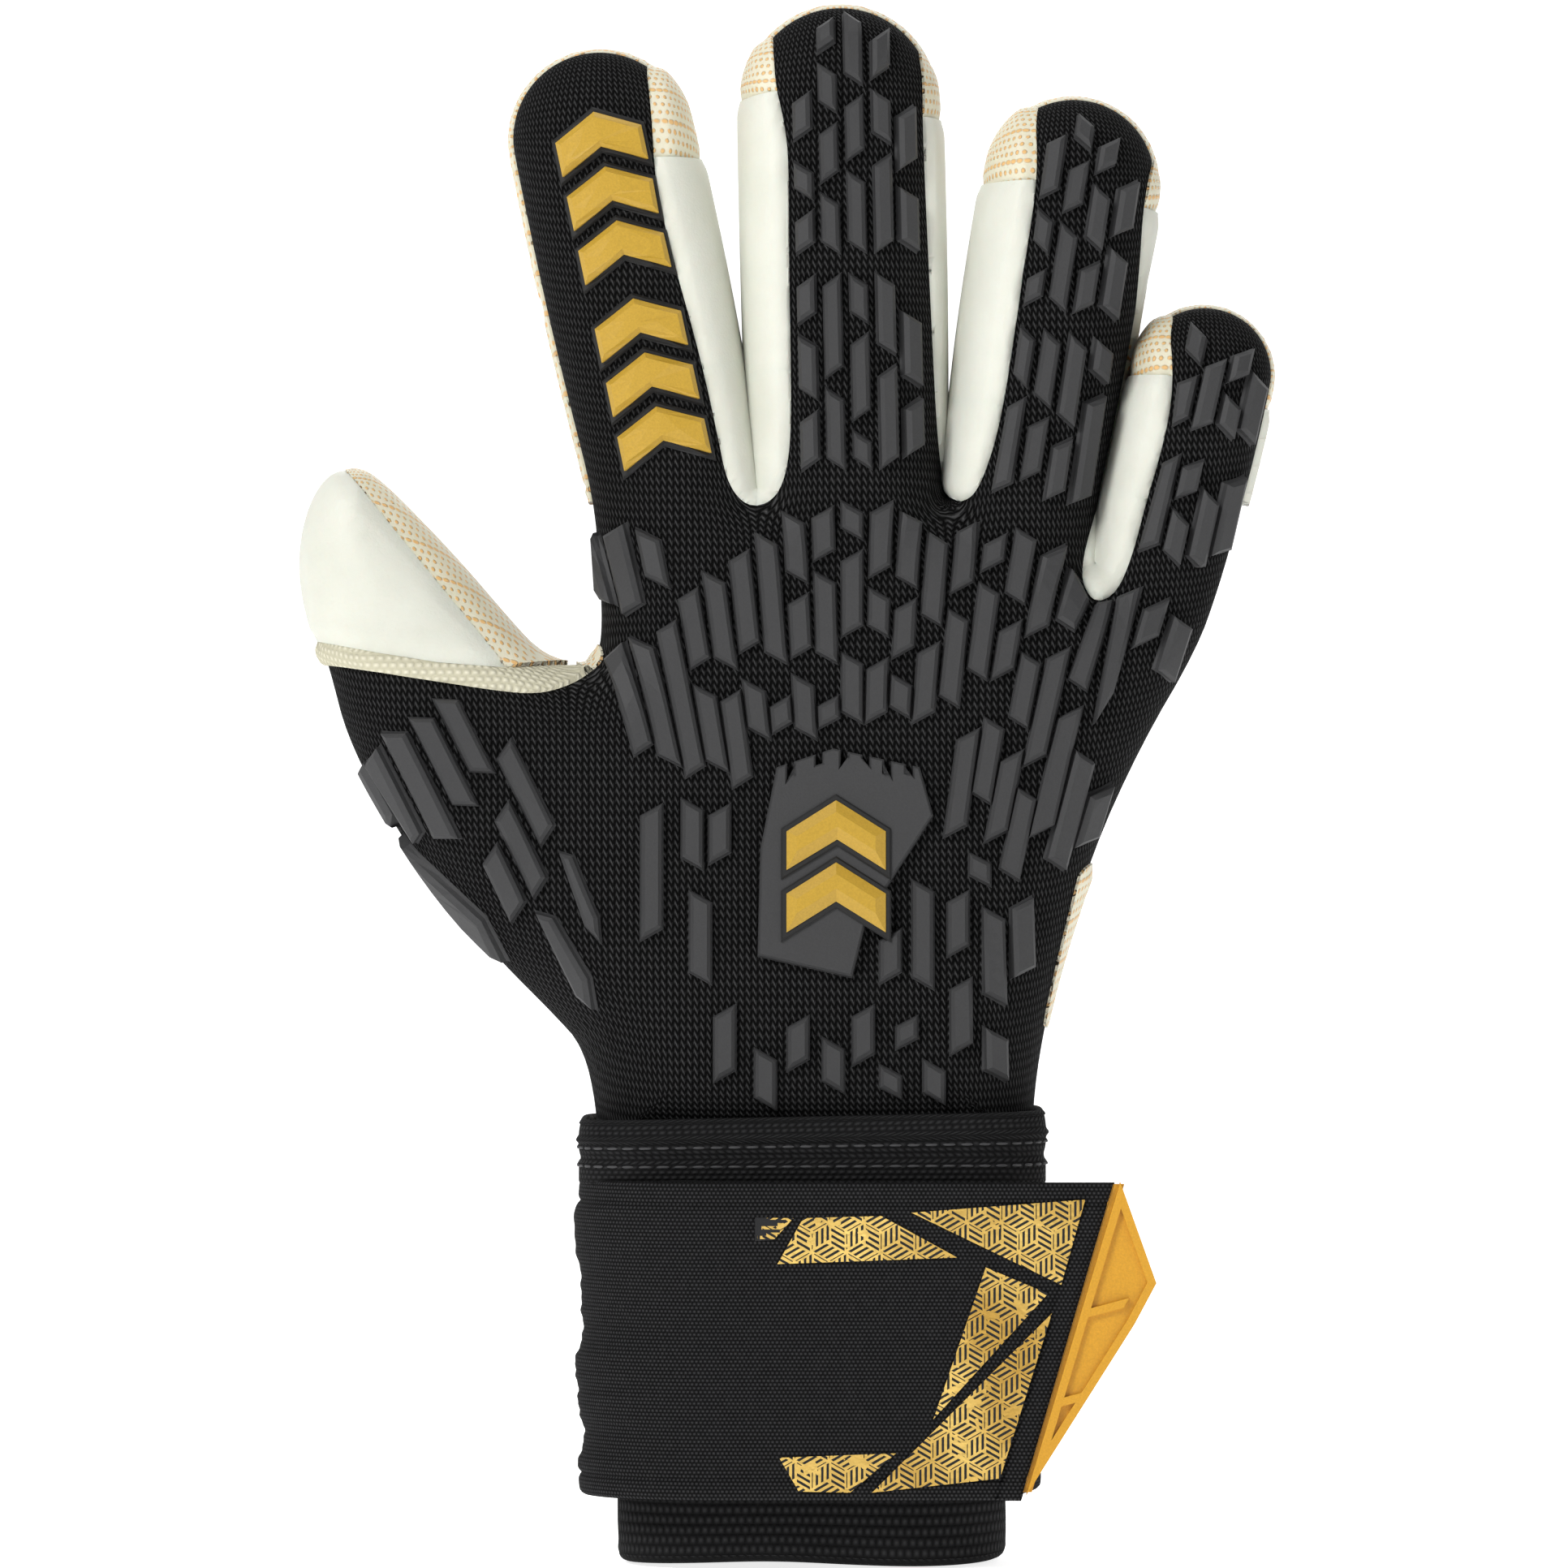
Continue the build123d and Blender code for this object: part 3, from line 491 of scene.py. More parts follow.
def woven(name, base, light, pitch_x, pitch_z, depth, turn=0.0):
    """A dense weave or warp knit: short floats in rows, each row set half a pitch along. Its colour follows the height:
    painted shade between the floats, a painted highlight on them.
    """
    s = Shader(name, base, 0.95, Specular_IOR_Level=0.12)
    x, z = s.plan(pitch_x, pitch_z, turn)
    shift = s.math("MULTIPLY", s.math("FLOOR", z), 0.5)
    across = s.wave(s.math("ADD", x, shift))
    row = s.math("POWER", s.wave(s.math("SUBTRACT", z, 0.25)), 0.7)
    height = s.math("MULTIPLY", s.math("POWER", across, 0.7), row)
    height = s.math("ADD", height, s.math("MULTIPLY", s.noise(700), 0.3))
    # Painted light: the colour ramps with the weave's height (and its random fuzz), from base as painted shade between
    # the floats to light as a painted highlight on them.
    s.colour(s.mix(s.ramp(height, 0.2, 1.2), base, light))
    s.bump(height, depth)
    return s.material


def latex(name, base, shade, dots=False):
    """Soft foamed latex with a faint uneven tint; the palm's has ochre dots and dashes."""
    s = Shader(name, base, 0.52, Specular_IOR_Level=0.35, Subsurface_Weight=0.08, Subsurface_Scale=0.004)
    tint = s.mix(s.ramp(s.noise(38, 4), 0.35, 0.7), base, shade)
    if dots:
        x, z = s.plan(1.75, 1.9)
        row = s.math("FLOOR", z)
        dash = s.math("LESS_THAN", s.math("MODULO", s.math("ABSOLUTE", row), 4.0), 1.0)
        x = s.math("ADD", x, s.math("MULTIPLY", row, 0.5))
        fx = s.math("SUBTRACT", s.math("FRACT", x), 0.5)
        fz = s.math("SUBTRACT", s.math("FRACT", z), 0.5)
        fx = s.math("MULTIPLY", fx, s.math("SUBTRACT", 1.0, s.math("MULTIPLY", dash, 0.45)))
        r = s.math("SQRT", s.math("ADD", s.math("MULTIPLY", fx, fx), s.math("MULTIPLY", fz, fz)))
        r = s.math("ADD", r, s.math("MULTIPLY", s.math("SUBTRACT", s.noise(420, 2), 0.5), 0.22))
        dot = s.math("SUBTRACT", 1.0, s.ramp(r, 0.17, 0.30))
        tint = s.mix(s.math("MULTIPLY", dot, 0.75), tint, (0.70, 0.36, 0.07))
        s.bump(dot, 0.00018)
    s.colour(tint)
    s.bump(s.noise(1500, 2), 0.00012, 0.6)
    s.bump(s.noise(60, 3), 0.0006, 0.35)
    return s.material


def rubber(name, base, roughness, grain=0.00006):
    s = Shader(name, base, roughness, Specular_IOR_Level=0.4)
    s.colour(s.mix(s.noise(2600, 2), tuple(0.8 * c for c in base), tuple(min(1, 1.22 * c) for c in base)))
    s.bump(s.noise(2400, 2), grain, 0.6)
    return s.material


# In each knit and weave the first, darker colour is painted shade in the gaps and the second a painted highlight on the
# raised yarn.
BLACK_MESH = knit("black_mesh", (0.002, 0.002, 0.002), (0.072, 0.072, 0.073), 1.2, 1.6, 0.0008)
ELASTIC = woven("black_elastic", (0.006, 0.006, 0.0062), (0.03, 0.03, 0.031), 1.5, 1.0, 0.0004)
CUFF_WEAVE = woven("cuff_weave", (0.006, 0.006, 0.0062), (0.032, 0.032, 0.033), 1.5, 1.9, 0.0006)
STRAP_KNIT = woven("strap_knit", (0.003, 0.003, 0.0032), (0.044, 0.044, 0.046), 0.8, 0.7, 0.0003)
WHITE_LATEX = latex("white_latex", (0.66, 0.665, 0.59), (0.58, 0.585, 0.51))
PALM_LATEX = latex("palm_latex", (0.70, 0.665, 0.52), (0.62, 0.585, 0.44), dots=True)
RUBBER = rubber("rubber_bars", (0.032, 0.032, 0.033), 0.62)
GOLD = rubber("gold_rubber", (0.45, 0.275, 0.028), 0.42)
YELLOW = rubber("yellow_tab", (0.58, 0.285, 0.015), 0.42)
# The binding's lighter colour is a painted highlight on its floats, the darker one painted shade between them.
BINDING = woven("binding_cream", (0.50, 0.475, 0.35), (0.70, 0.67, 0.53), 1.6, 1.3, 0.0003)
LINING = Shader("lining", (0.02, 0.02, 0.021), 0.95).material
THREAD_GREY = rubber("grey_thread", (0.05, 0.05, 0.052), 0.7)
INK = rubber("black_rubber", (0.008, 0.008, 0.008), 0.6)


def lay_plan(piece, flat=None):
    """Writes the rest plan's coordinates as the piece's UV map, in metres."""
    mesh = piece.data
    layer = mesh.uv_layers.new(name="plan")
    co = np.zeros(len(mesh.vertices) * 3)
    mesh.vertices.foreach_get("co", co)
    co = co.reshape(-1, 3)
    uv = co[:, [0, 2]] if flat is None else np.asarray(flat) * 0.001
    loops = np.zeros(len(mesh.loops), int)
    mesh.loops.foreach_get("vertex_index", loops)
    layer.data.foreach_set("uv", uv[loops].astype(np.float32).ravel())
    return piece


# ---- The skin's panels --------------------------------------------------------------------------------------------

SEAM = 8.5                  # the latex of the palm starts this far to the palm side


def binding_band(x):
    """Lower and upper edge of the stitched tape across the thumb."""
    low = np.interp(x, [-92, -80, -69, -58, -51, -46, -41], [166.4, 164.3, 162.6, 161.0, 160.3, 161.4, 163.9])
    high = np.interp(x, [-92, -80, -69, -58, -48, -42], [170.6, 168.0, 166.2, 165.2, 165.2, 165.0])
    return low, high


def palm_share(p):
    """Below zero where a latex panel that isn't black is gusset, above zero where it is palm latex."""
    x, y, z = p.T
    value = y - SEAM
    for f in FINGERS:
        u, s = local(f, x, z)
        near = np.where(np.abs(u) < f.mid_width / 2 + 2.5, 0.0, -40.0)
        value = np.maximum(value, s - (f.length - f.wrap) + near + 0.25 * np.minimum(np.abs(u), 20) - 3)
    value = np.maximum(value, np.where(x < -20, 190 - z, -40))
    value = np.maximum(value, np.where(x > 30, 174 - z, -40))
    return value


def thumb_share(p):
    """Below zero on the thumb's white cap, above zero on its palm latex."""
    x, y, z = p.T
    side = (x + 86) * 0.77 + (z - 200.5) * 0.635
    return np.maximum(side, y - 7.0)


def black_share(p):
    """Below zero on the black fabric."""
    x, y, z = p.T
    d, _, _ = outline_distance(BLACK, x, z)
    seam = np.where(z > 196, 2.0, SEAM)
    return np.maximum(d, y - seam)


def bodies_of(p, tris):
    """Cuts a panel's triangles where the glove bends. Gives the points and {zone: triangles}."""
    zones = {}
    rest = tris
    for f in FINGERS:
        u, s = local(f, p[:, 0], p[:, 2])
        width = np.interp(s, [0, f.joint], [f.base_width, f.mid_width]) / 2 + 0.45
        p, rest, mine = cut(p, rest, np.minimum(s + 4, width - np.abs(u)))
        if len(mine):
            _, s = local(f, p[:, 0], p[:, 2])
            p, low, high = cut(p, mine, s - (KNUCKLE + f.joint) / 2)
            zones[f.name, "lower"], zones[f.name, "upper"] = low, high
    p, rest, mine = cut(p, rest, np.minimum(-38.6 - p[:, 0], 171 - p[:, 2] + 200 * (p[:, 0] < -45)))
    if len(mine):
        p, root, tip = cut(p, mine, np.minimum(p[:, 2] - 158 - 0.353 * (p[:, 0] + 60), -49 - p[:, 0]))
        zones["thumb", "root"], zones["thumb", "tip"] = root, tip
    zones["hand", ""] = rest
    return p, {k: t for k, t in zones.items() if len(t)}


def bend(piece, part, level):
    """Bakes the transform into a piece of the skin, or what lies on it, on a finger or the thumb; ties any other piece
    to the hand.
    """
    for f in FINGERS:
        if f.name == part:
            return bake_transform(piece)
    if level == "root":
        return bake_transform(piece)
    if level == "tip":
        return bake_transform(piece)
    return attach(piece, "hand")


skin, _, skin_tris = grow_skin()
panels = {}
points, black_tris, other = cut(skin, skin_tris, black_share(skin))
panels["black"] = black_tris
points, other, thumb_tris = cut(points, other, np.minimum(-38.8 - points[:, 0], points[:, 2] - 120))
points, thumb_palm_low, thumb_tris = cut(points, thumb_tris, np.maximum(
    6.0 - points[:, 1], points[:, 2] - binding_band(points[:, 0])[1]))
points, band, thumb_tris = cut(points, thumb_tris, points[:, 2] - binding_band(points[:, 0])[1])
points, thumb_white, thumb_palm = cut(points, thumb_tris, thumb_share(points))
points, white, palm = cut(points, other, palm_share(points))
panels["binding"] = band
panels["white"] = np.concatenate([white, thumb_white])
panels["palm"] = np.concatenate([palm, thumb_palm, thumb_palm_low])


def height(panel, p):
    """How far a panel stands above the base skin."""
    x, y, z = p.T
    black = black_share(p)
    if panel == "black":
        return np.zeros(len(p))
    if panel == "binding":
        low, high = binding_band(x)
        t = np.clip((z - low) / np.maximum(high - low, 0.5), 0, 1)
        return 0.5 + 1.1 * np.sqrt(np.clip(1 - (2 * t - 1) ** 2, 0, 1))
    roll = np.sqrt(1 - (1 - np.clip(black, 0, 3.4) / 3.4) ** 2)
    if panel == "white":
        thumb = x < -45
        seam = np.where(thumb, np.abs(thumb_share(p)), np.abs(palm_share(p)))
        h = 0.5 + 1.7 * roll - 0.5 * np.exp(-(seam / 1.4) ** 2)
        band_top = binding_band(x)[1]
        return np.where(thumb, 0.7 + 0.7 * smooth((z - band_top) / 3.0) - 0.4 * np.exp(-(seam / 1.2) ** 2), h)
    seam = np.where(x < -45, np.abs(thumb_share(p)), np.abs(palm_share(p)))
    h = 0.5 + 1.2 * smooth(black / 2.5)
    for f in FINGERS:
        u, s = local(f, x, z)
        on = (np.abs(u) < f.mid_width / 2 + 2) & (y > 4)
        for crease in (f.joint, KNUCKLE):
            h = h - np.where(on, 1.0 * np.exp(-((s - crease) / 1.8) ** 2), 0)
    return h - 0.45 * np.exp(-(seam / 1.3) ** 2)


LOOKS = {"black": (BLACK_MESH, "black_mesh", 2.0), "white": (WHITE_LATEX, "white_latex", 3.0),
         "palm": (PALM_LATEX, "palm_latex", 3.0), "binding": (BINDING, "binding_cream", 2.0)}


def unrolled(p):
    """The plan, carried on round the sides: how far the cloth goes down a side is added on outwards."""
    x, y, z = p.T
    _, gx, gz = outline_distance(SILHOUETTE, x, z)
    down = np.maximum(half_depth(x, z) - np.abs(y), 0)
    return np.stack([x + gx * down, z + gz * down], axis=1)


for panel, tris in panels.items():
    p, tris = compact(points, tris)
    p, zones = bodies_of(p, tris)
    every = np.concatenate(list(zones.values()))
    _, g = field(p)
    n = g / np.maximum(np.linalg.norm(g, axis=1), 1e-9)[:, None]
    q = p + n * height(panel, p)[:, None]
    shading = vertex_normals(q, every)
    shading = np.where(((shading * n).sum(axis=1) < 0.35)[:, None], n, shading)
    material, slot, deep = LOOKS[panel]
    for (part, level), zone in zones.items():
        qq, zone, nn, nb, pp = compact(q, zone, shading, n, p)
        full, faces, normals = skirted(qq, zone, nn, nb, deep)
        piece = mesh_object("_".join(w for w in ("skin", panel, part, level) if w), full, faces, material, normals)
        flat = unrolled(full)
        lay_plan(piece, flat)
        bend(piece, part, level)

# ---- Rubber on the skin -------------------------------------------------------------------------------------------


def islands(node):
    """Outlines, in the plan, of what a CAD node shows from the back of the hand: one closed loop for each solid."""
    mesh = bmesh.new()
    mesh.from_mesh(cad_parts[node].data)
    bmesh.ops.remove_doubles(mesh, verts=mesh.verts, dist=1e-6)
    mesh.verts.ensure_lookup_table()
    seen, loops = set(), []
    for start in mesh.verts:
        if start in seen:
            continue
        group, queue = [], [start]
        seen.add(start)
        while queue:
            v = queue.pop()
            group.append(v)
            for e in v.link_edges:
                w = e.other_vert(v)
                if w not in seen:
                    seen.add(w)
                    queue.append(w)
        faces = {f for v in group for f in v.link_faces if f.normal.y < -0.6}
        if not faces:
            continue
        following = {}
        for f in faces:
            for loop in f.loops:
                if sum(g in faces for g in loop.edge.link_faces) == 1:
                    following[loop.vert] = loop.link_loop_next.vert
        first = next(iter(following))
        ring, v = [first], following[first]
        while v is not first and v in following and len(ring) < 400:
            ring.append(v)
            v = following[v]
        outline = [(v.co.x * 1000, v.co.z * 1000) for v in ring]
        loops.append(simple(outline))
    mesh.free()
    return loops


def simple(outline, least=0.06):
    """Leaves out the corners that lie on a straight line."""
    p = [np.array(c) for c in outline]
    changed = True
    while changed and len(p) > 4:
        changed = False
        for i in range(len(p)):
            a, b, c = p[i - 1], p[i], p[(i + 1) % len(p)]
            ac = c - a
            off = abs(ac[0] * (b - a)[1] - ac[1] * (b - a)[0]) / max(np.hypot(*ac), 1e-6)
            if off < least or np.hypot(*(b - a)) < 0.25:
                del p[i]
                changed = True
                break
    return np.array(p)


def turn_of(p):
    q = np.roll(p, -1, axis=0)
    return 1 if (p[:, 0] * q[:, 1] - q[:, 0] * p[:, 1]).sum() > 0 else -1


def inset(p, by):
    """The outline drawn in by a distance, with mitred corners."""
    side = turn_of(p)
    e = np.roll(p, -1, axis=0) - p
    e /= np.maximum(np.hypot(e[:, 0], e[:, 1]), 1e-9)[:, None]
    n = np.stack([-e[:, 1], e[:, 0]], axis=1) * side
    before = np.roll(n, 1, axis=0)
    m = n + before
    m /= np.maximum((m * m).sum(axis=1), 0.45)[:, None] / 2
    return p + m * by


def relief(name, outlines, rings, material, part, level, step=3.0):
    """Moulded shapes on the skin. rings are (inset, height) from the foot to the top of each shape."""
    mesh = bmesh.new()
    for outline in outlines:
        if turn_of(outline) < 0:
            outline = outline[::-1]
        loops = [[mesh.verts.new((x, h, z)) for x, z in inset(outline, by)] for by, h in rings]
        for a, b in zip(loops, loops[1:]):
            for i in range(len(a)):
                j = (i + 1) % len(a)
                mesh.faces.new((a[i], a[j], b[j], b[i]))
        mesh.faces.new(loops[-1])
    bmesh.ops.triangulate(mesh, faces=[f for f in mesh.faces if len(f.verts) > 4], ngon_method="EAR_CLIP")
    zs = [v.co.z for v in mesh.verts]
    xs = [v.co.x for v in mesh.verts]
    for z in np.arange(min(zs) + step / 2, max(zs), step):
        bmesh.ops.bisect_plane(mesh, geom=mesh.verts[:] + mesh.edges[:] + mesh.faces[:], plane_co=(0, 0, z),
                               plane_no=(0, 0, 1), dist=1e-4)
    mesh.verts.ensure_lookup_table()
    flat = np.array([v.co for v in mesh.verts])
    base, n = surface(flat[:, 0], flat[:, 2])
    placed = base + n * flat[:, 1][:, None]
    for v, co in zip(mesh.verts, placed):
        v.co = co * 0.001
    bmesh.ops.recalc_face_normals(mesh, faces=mesh.faces)
    data = bpy.data.meshes.new(name)
    mesh.to_mesh(data)
    mesh.free()
    data.polygons.foreach_set("use_smooth", [False] * len(data.polygons))
    piece = bpy.data.objects.new(name, data)
    bpy.context.scene.collection.objects.link(piece)
    data.materials.append(material)
    lay_plan(piece, flat[:, [0, 2]])
    bend(piece, part, level)
    return piece


def centre_zone(outline):
    """Which part of the skin a shape lies on."""
    x, z = outline.mean(axis=0)
    for f in FINGERS:
        u, s = local(f, x, z)
        if abs(u) < f.mid_width / 2 + 1 and s > -4:
            return f.name, "lower" if s < (KNUCKLE + f.joint) / 2 else "upper"
    if x < -41:
        return "thumb", "root"
    return "hand", ""


def on_strip(outline, name):
    """Brings a finger's bars on to the black strip of its back, which lies off the finger's middle."""
    for f in FINGERS:
        if f.name == name:
            u, s = local(f, outline[:, 0], outline[:, 1])
            shift, narrow = {"middle": (0.9, 0.93), "ring": (1.0, 0.94), "pinky": (0.5, 0.96)}.get(name, (0, 1))
            return np.stack(along(f, u * narrow + shift, s), axis=1)
    return outline


def kept_off_edge(outline, on_hand, margin=1.1):
    """Draws in the corners that would cross the edge of the black fabric: down on the hand, sideways on a finger."""
    p = outline.copy()
    for _ in range(24 if on_hand else 1):
        d, gx, gz = outline_distance(BLACK, p[:, 0], p[:, 1])
        over = np.clip(d + margin, 0, 6)
        p -= np.stack([0 * over, 0.7 * (over > 0)] if on_hand else [gx * over, gz * over], axis=1)
    return p if np.ptp(p[:, 1]) > 3 else None


def by_zone(nodes, extra=()):
    groups = {}
    for outline in [o for node in nodes for o in islands(node)] + [np.array(o, float) for o in extra]:
        zone = centre_zone(outline)
        outline = kept_off_edge(on_strip(outline, zone[0]), zone[0] == "hand")
        if outline is not None:
            groups.setdefault(zone, []).append(outline)
    return groups


BAR = [(-0.25, -1.2), (-0.25, 0.1), (0.0, 0.6), (0.1, 1.55), (0.75, 2.2)]
bar_nodes = [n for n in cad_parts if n.endswith("_bars") or "_bars_" in n]
# Small bars beyond the CAD's: along the thumb's edge, in its crease and at the root of the index finger.
SMALL_BARS = [
    [(-77.6, 133.4), (-74.6, 132.6), (-60.2, 119.2), (-56.2, 111.4), (-58.6, 112.4), (-75.4, 128.8)],
    [(-50.6, 120.2), (-47.2, 119.2), (-40.6, 108.2), (-39.6, 102.4), (-42.6, 105.0)],
    [(-46.4, 131.2), (-43.8, 130.4), (-39.2, 119.0), (-38.8, 114.6), (-41.6, 117.6)],
    [(-84.0, 146.4), (-81.8, 148.4), (-76.4, 138.8), (-77.8, 135.4)],
]
for (part, level), outlines in by_zone(bar_nodes, SMALL_BARS).items():
    relief("_".join(w for w in ("bars", part, level) if w), outlines, BAR, RUBBER,
                               part, level)

OUTLINE = [(-1.0, -1.2), (-1.0, 0.5), (-0.6, 0.95)]
MOULDED = [(0.0, 0.0), (0.0, 1.8), (0.9, 2.7)]
letters, letter_feet = {}, {}
for (part, level), outlines in by_zone(["index_chevrons_lower", "index_chevrons_upper"]).items():
    letter_feet[level] = relief(f"chevron_feet_{level}", outlines, OUTLINE, INK, part, level)
    letters[level] = relief(f"chevrons_{level}", outlines, MOULDED, GOLD, part, level)


def notched(outline, pitch=3.9, wide=1.1, deep=3.4):
    """The outline with upright slots, long and short in turn, along its upper edge."""
    corners = []
    middle = outline.mean(axis=0)
    for a, b in zip(outline, np.roll(outline, -1, axis=0)):
        corners.append(a)
        length = np.hypot(*(b - a))
        e = (b - a) / length
        if length < 1.6 * pitch or abs(e[0]) < 0.75 or (a + b)[1] / 2 < middle[1]:
            continue
        count = int(length // pitch)
        for k in range(1, count + 1):
            at = a + e * ((k - 0.5) * length / count - wide / 2)
            down = np.array([0, -deep * (0.6 if k % 2 else 1.0)])
            corners += [at, at + down, at + e * wide + down, at + e * wide]
    return np.array(corners)


plate_outline = islands("emblem_plate")[0]
plate = relief("emblem_plate_moulded", [notched(plate_outline)],
               [(0.0, -1.2), (0.0, 0.1), (0.12, 0.7), (0.15, 1.9), (0.5, 2.3)], RUBBER, "hand", "")
inlay_outlines = islands("emblem_inlays")
inlay_feet = relief("emblem_inlay_feet", inlay_outlines, [(-1.0, 1.2), (-1.0, 2.6), (-0.7, 2.9)], INK,
                    "hand", "")
inlays = relief("emblem_inlays_moulded", inlay_outlines, [(0.0, 2.0), (0.0, 3.1), (1.9, 4.3)], GOLD,
                "hand", "")

# ---- Round the wrist ----------------------------------------------------------------------------------------------


def rim(ax, ay, r, count):
    """A rounded rectangle round the wrist, evenly spaced from the middle of the palm side: points and normals."""
    corners = []
    for sx, sy, start in ((-1, 1, 90), (-1, -1, 180), (1, -1, 270), (1, 1, 0)):
        for t in np.linspace(start, start + 90, 24):
            c, s = cos(radians(t)), sin(radians(t))
            corners.append((sx * (ax - r) + r * c, sy * (ay - r) + r * s, c, s))
    p = np.array([(0, ay, 0, 1)] + corners + [(0, ay, 0, 1)])
    way = np.concatenate([[0], np.cumsum(np.hypot(*np.diff(p[:, :2], axis=0).T))])
    at = np.linspace(0, way[-1], count, endpoint=False)
    out = np.stack([np.interp(at, way, p[:, k]) for k in range(4)], axis=1)
    n = out[:, 2:] / np.linalg.norm(out[:, 2:], axis=1)[:, None]
    return out[:, :2], n, at


def tube(name, rows, material, wobble=None, count=200, closed=True):
    """A tube from rows of (half width, half depth, corner radius, z, way up the fabric)."""
    points, flat = [], []
    for ax, ay, r, z, way in rows:
        p, n, at = rim(ax, ay, r, count)
        zs = np.full(count, float(z))
        if wobble is not None:
            out, up = wobble(p, zs, ax)
            p, zs = p + n * out[:, None], zs + up
        points.append(np.column_stack([p, zs]))
        flat.append(np.column_stack([at, np.full(count, float(way))]))
    m = len(rows)
    faces = []
    for i in range(m if closed else m - 1):
        j = (i + 1) % m
        for k in range(count):
            l = (k + 1) % count
            faces.append((i * count + k, j * count + k, j * count + l, i * count + l))
    piece = mesh_object(name, np.concatenate(points), faces, material)
    fix = bmesh.new()
    fix.from_mesh(piece.data)
    bmesh.ops.recalc_face_normals(fix, faces=fix.faces)
    fix.to_mesh(piece.data)
    fix.free()
    lay_plan(piece, np.concatenate(flat))
    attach(piece, "hand")
    return piece


def walled(outer, wall, low, high, edge, steps=30, lip=None):
    """Rows of a tube with rounded rims: up the outside and down the inside. outer is (half width, half depth, r)."""
    ax, ay, r = outer
    rows = []
    for z in np.linspace(low + edge, high - edge, steps):
        rise = 0.0 if lip is None else float(lip(z))
        rows.append((ax + rise, ay + rise, r, z, z))
    for t in np.linspace(15, 165, 8):
        c, s = cos(radians(t)), sin(radians(t))
        in_by = wall / 2 * (1 - c)
        rows.append((ax - in_by, ay - in_by, max(r - in_by, 1), high - edge + edge * s, high + in_by))
    rows += [(ax - wall, ay - wall, max(r - wall, 1), z, 2 * high + wall - z) for z in np.linspace(high - edge, low + edge, 12)]
    for t in np.linspace(165, 15, 8):
        c, s = cos(radians(t)), sin(radians(t))
        in_by = wall / 2 * (1 - c)
        rows.append((ax - in_by, ay - in_by, max(r - in_by, 1), low + edge - edge * s, low - in_by))
    return rows


def cuff_wobble(p, z, ax):
    around = np.arctan2(p[:, 1], p[:, 0])
    low = smooth((14 - z) / 14)
    return 0.25 * np.sin(7 * around + 0.3 * z) * low, 0.45 * np.sin(3 * around + 1.0) * low


cuff = tube("cuff", walled((36.0, 25.0, 20.0), 3.0, 0.3, 74.0, 1.5, 26), CUFF_WEAVE, cuff_wobble)


def band_lip(z):
    return 0.55 * np.exp(-((z - 79.0) / 0.55) ** 2) - 0.35 * np.exp(-((z - 75.2) / 1.1) ** 2) - 0.5 * smooth((z - 80) / 4)


def band_wobble(p, z, ax):
    return 0.15 * np.sin(0.9 * p[:, 0]), 0.020 * (p[:, 0] - 12) * smooth((z - 70) / 12)


wrist = tube("wrist_elastic", walled((43.2, 27.2, 14.5), 2.4, 69.6, 83.0, 1.0, 44, band_lip), ELASTIC,
             band_wobble)


def creases(x, y, z):
    """How far the strap's cloth stands out in soft cross folds, which run in from the left-hand edge."""
    left = smooth((-14 - x) / 28) ** 1.3
    bend = z + 0.16 * x * np.sin(0.07 * z + 1.0)
    fold = (0.9 * np.sin(0.20 * bend + 0.6) + 0.38 * np.sin(0.47 * bend + 2.1 + 0.05 * y) +
            0.17 * np.sin(1.13 * bend + 0.09 * y) + 0.11 * np.sin(2.3 * bend + 0.1 * y + 1.0))
    return 0.75 * left * fold * smooth((z - 13) / 6) * smooth((71 - z) / 6)


def strap_wobble(p, z, ax):
    right = smooth((p[:, 0] - 20) / 20)
    around = np.arctan2(p[:, 1], p[:, 0])
    out = creases(p[:, 0], p[:, 1], z) * 0.8 + 0.3 * right * np.sin(0.5 * z) - 0.25
    return out, 0.4 * np.sin(2 * around + 0.7)


def hem_lip(z):
    return -0.45 * (np.exp(-((z - 17.0) / 0.45) ** 2) + np.exp(-((z - 66.6) / 0.45) ** 2))


first_turn = tube("strap_first_turn_cloth", walled((42.5, 30.5, 22.0), 5.6, 12.7, 70.8, 1.6, 70, hem_lip), STRAP_KNIT,
                  strap_wobble)

STRAP_LOW, STRAP_HIGH, STRAP_FACE, THICK = 12.6, 70.9, -35.3, 2.5
TIP_LOW, TIP_HIGH = 38.3, 55.4
WRAP = rounded([(-41.9, -3.0), (-43.6, -10.0), (-42.6, -18.5), (-37.6, -27.0), (-30.0, -32.8), (-21.0, -35.3),
                (-12.0, -35.3), (-3.0, -35.3), (-3.0, 20.0), (-60.0, 20.0)], 3)
WRAP = np.roll(WRAP, -int(np.argmin(np.hypot(WRAP[:, 0] + 42.2, WRAP[:, 1] + 4.5))), axis=0)
WRAP = WRAP[:1 + int(np.argmax(WRAP[:, 0] > -12.0))]
WRAP_WAY = np.concatenate([[0], np.cumsum(np.hypot(*np.diff(WRAP, axis=0).T))])


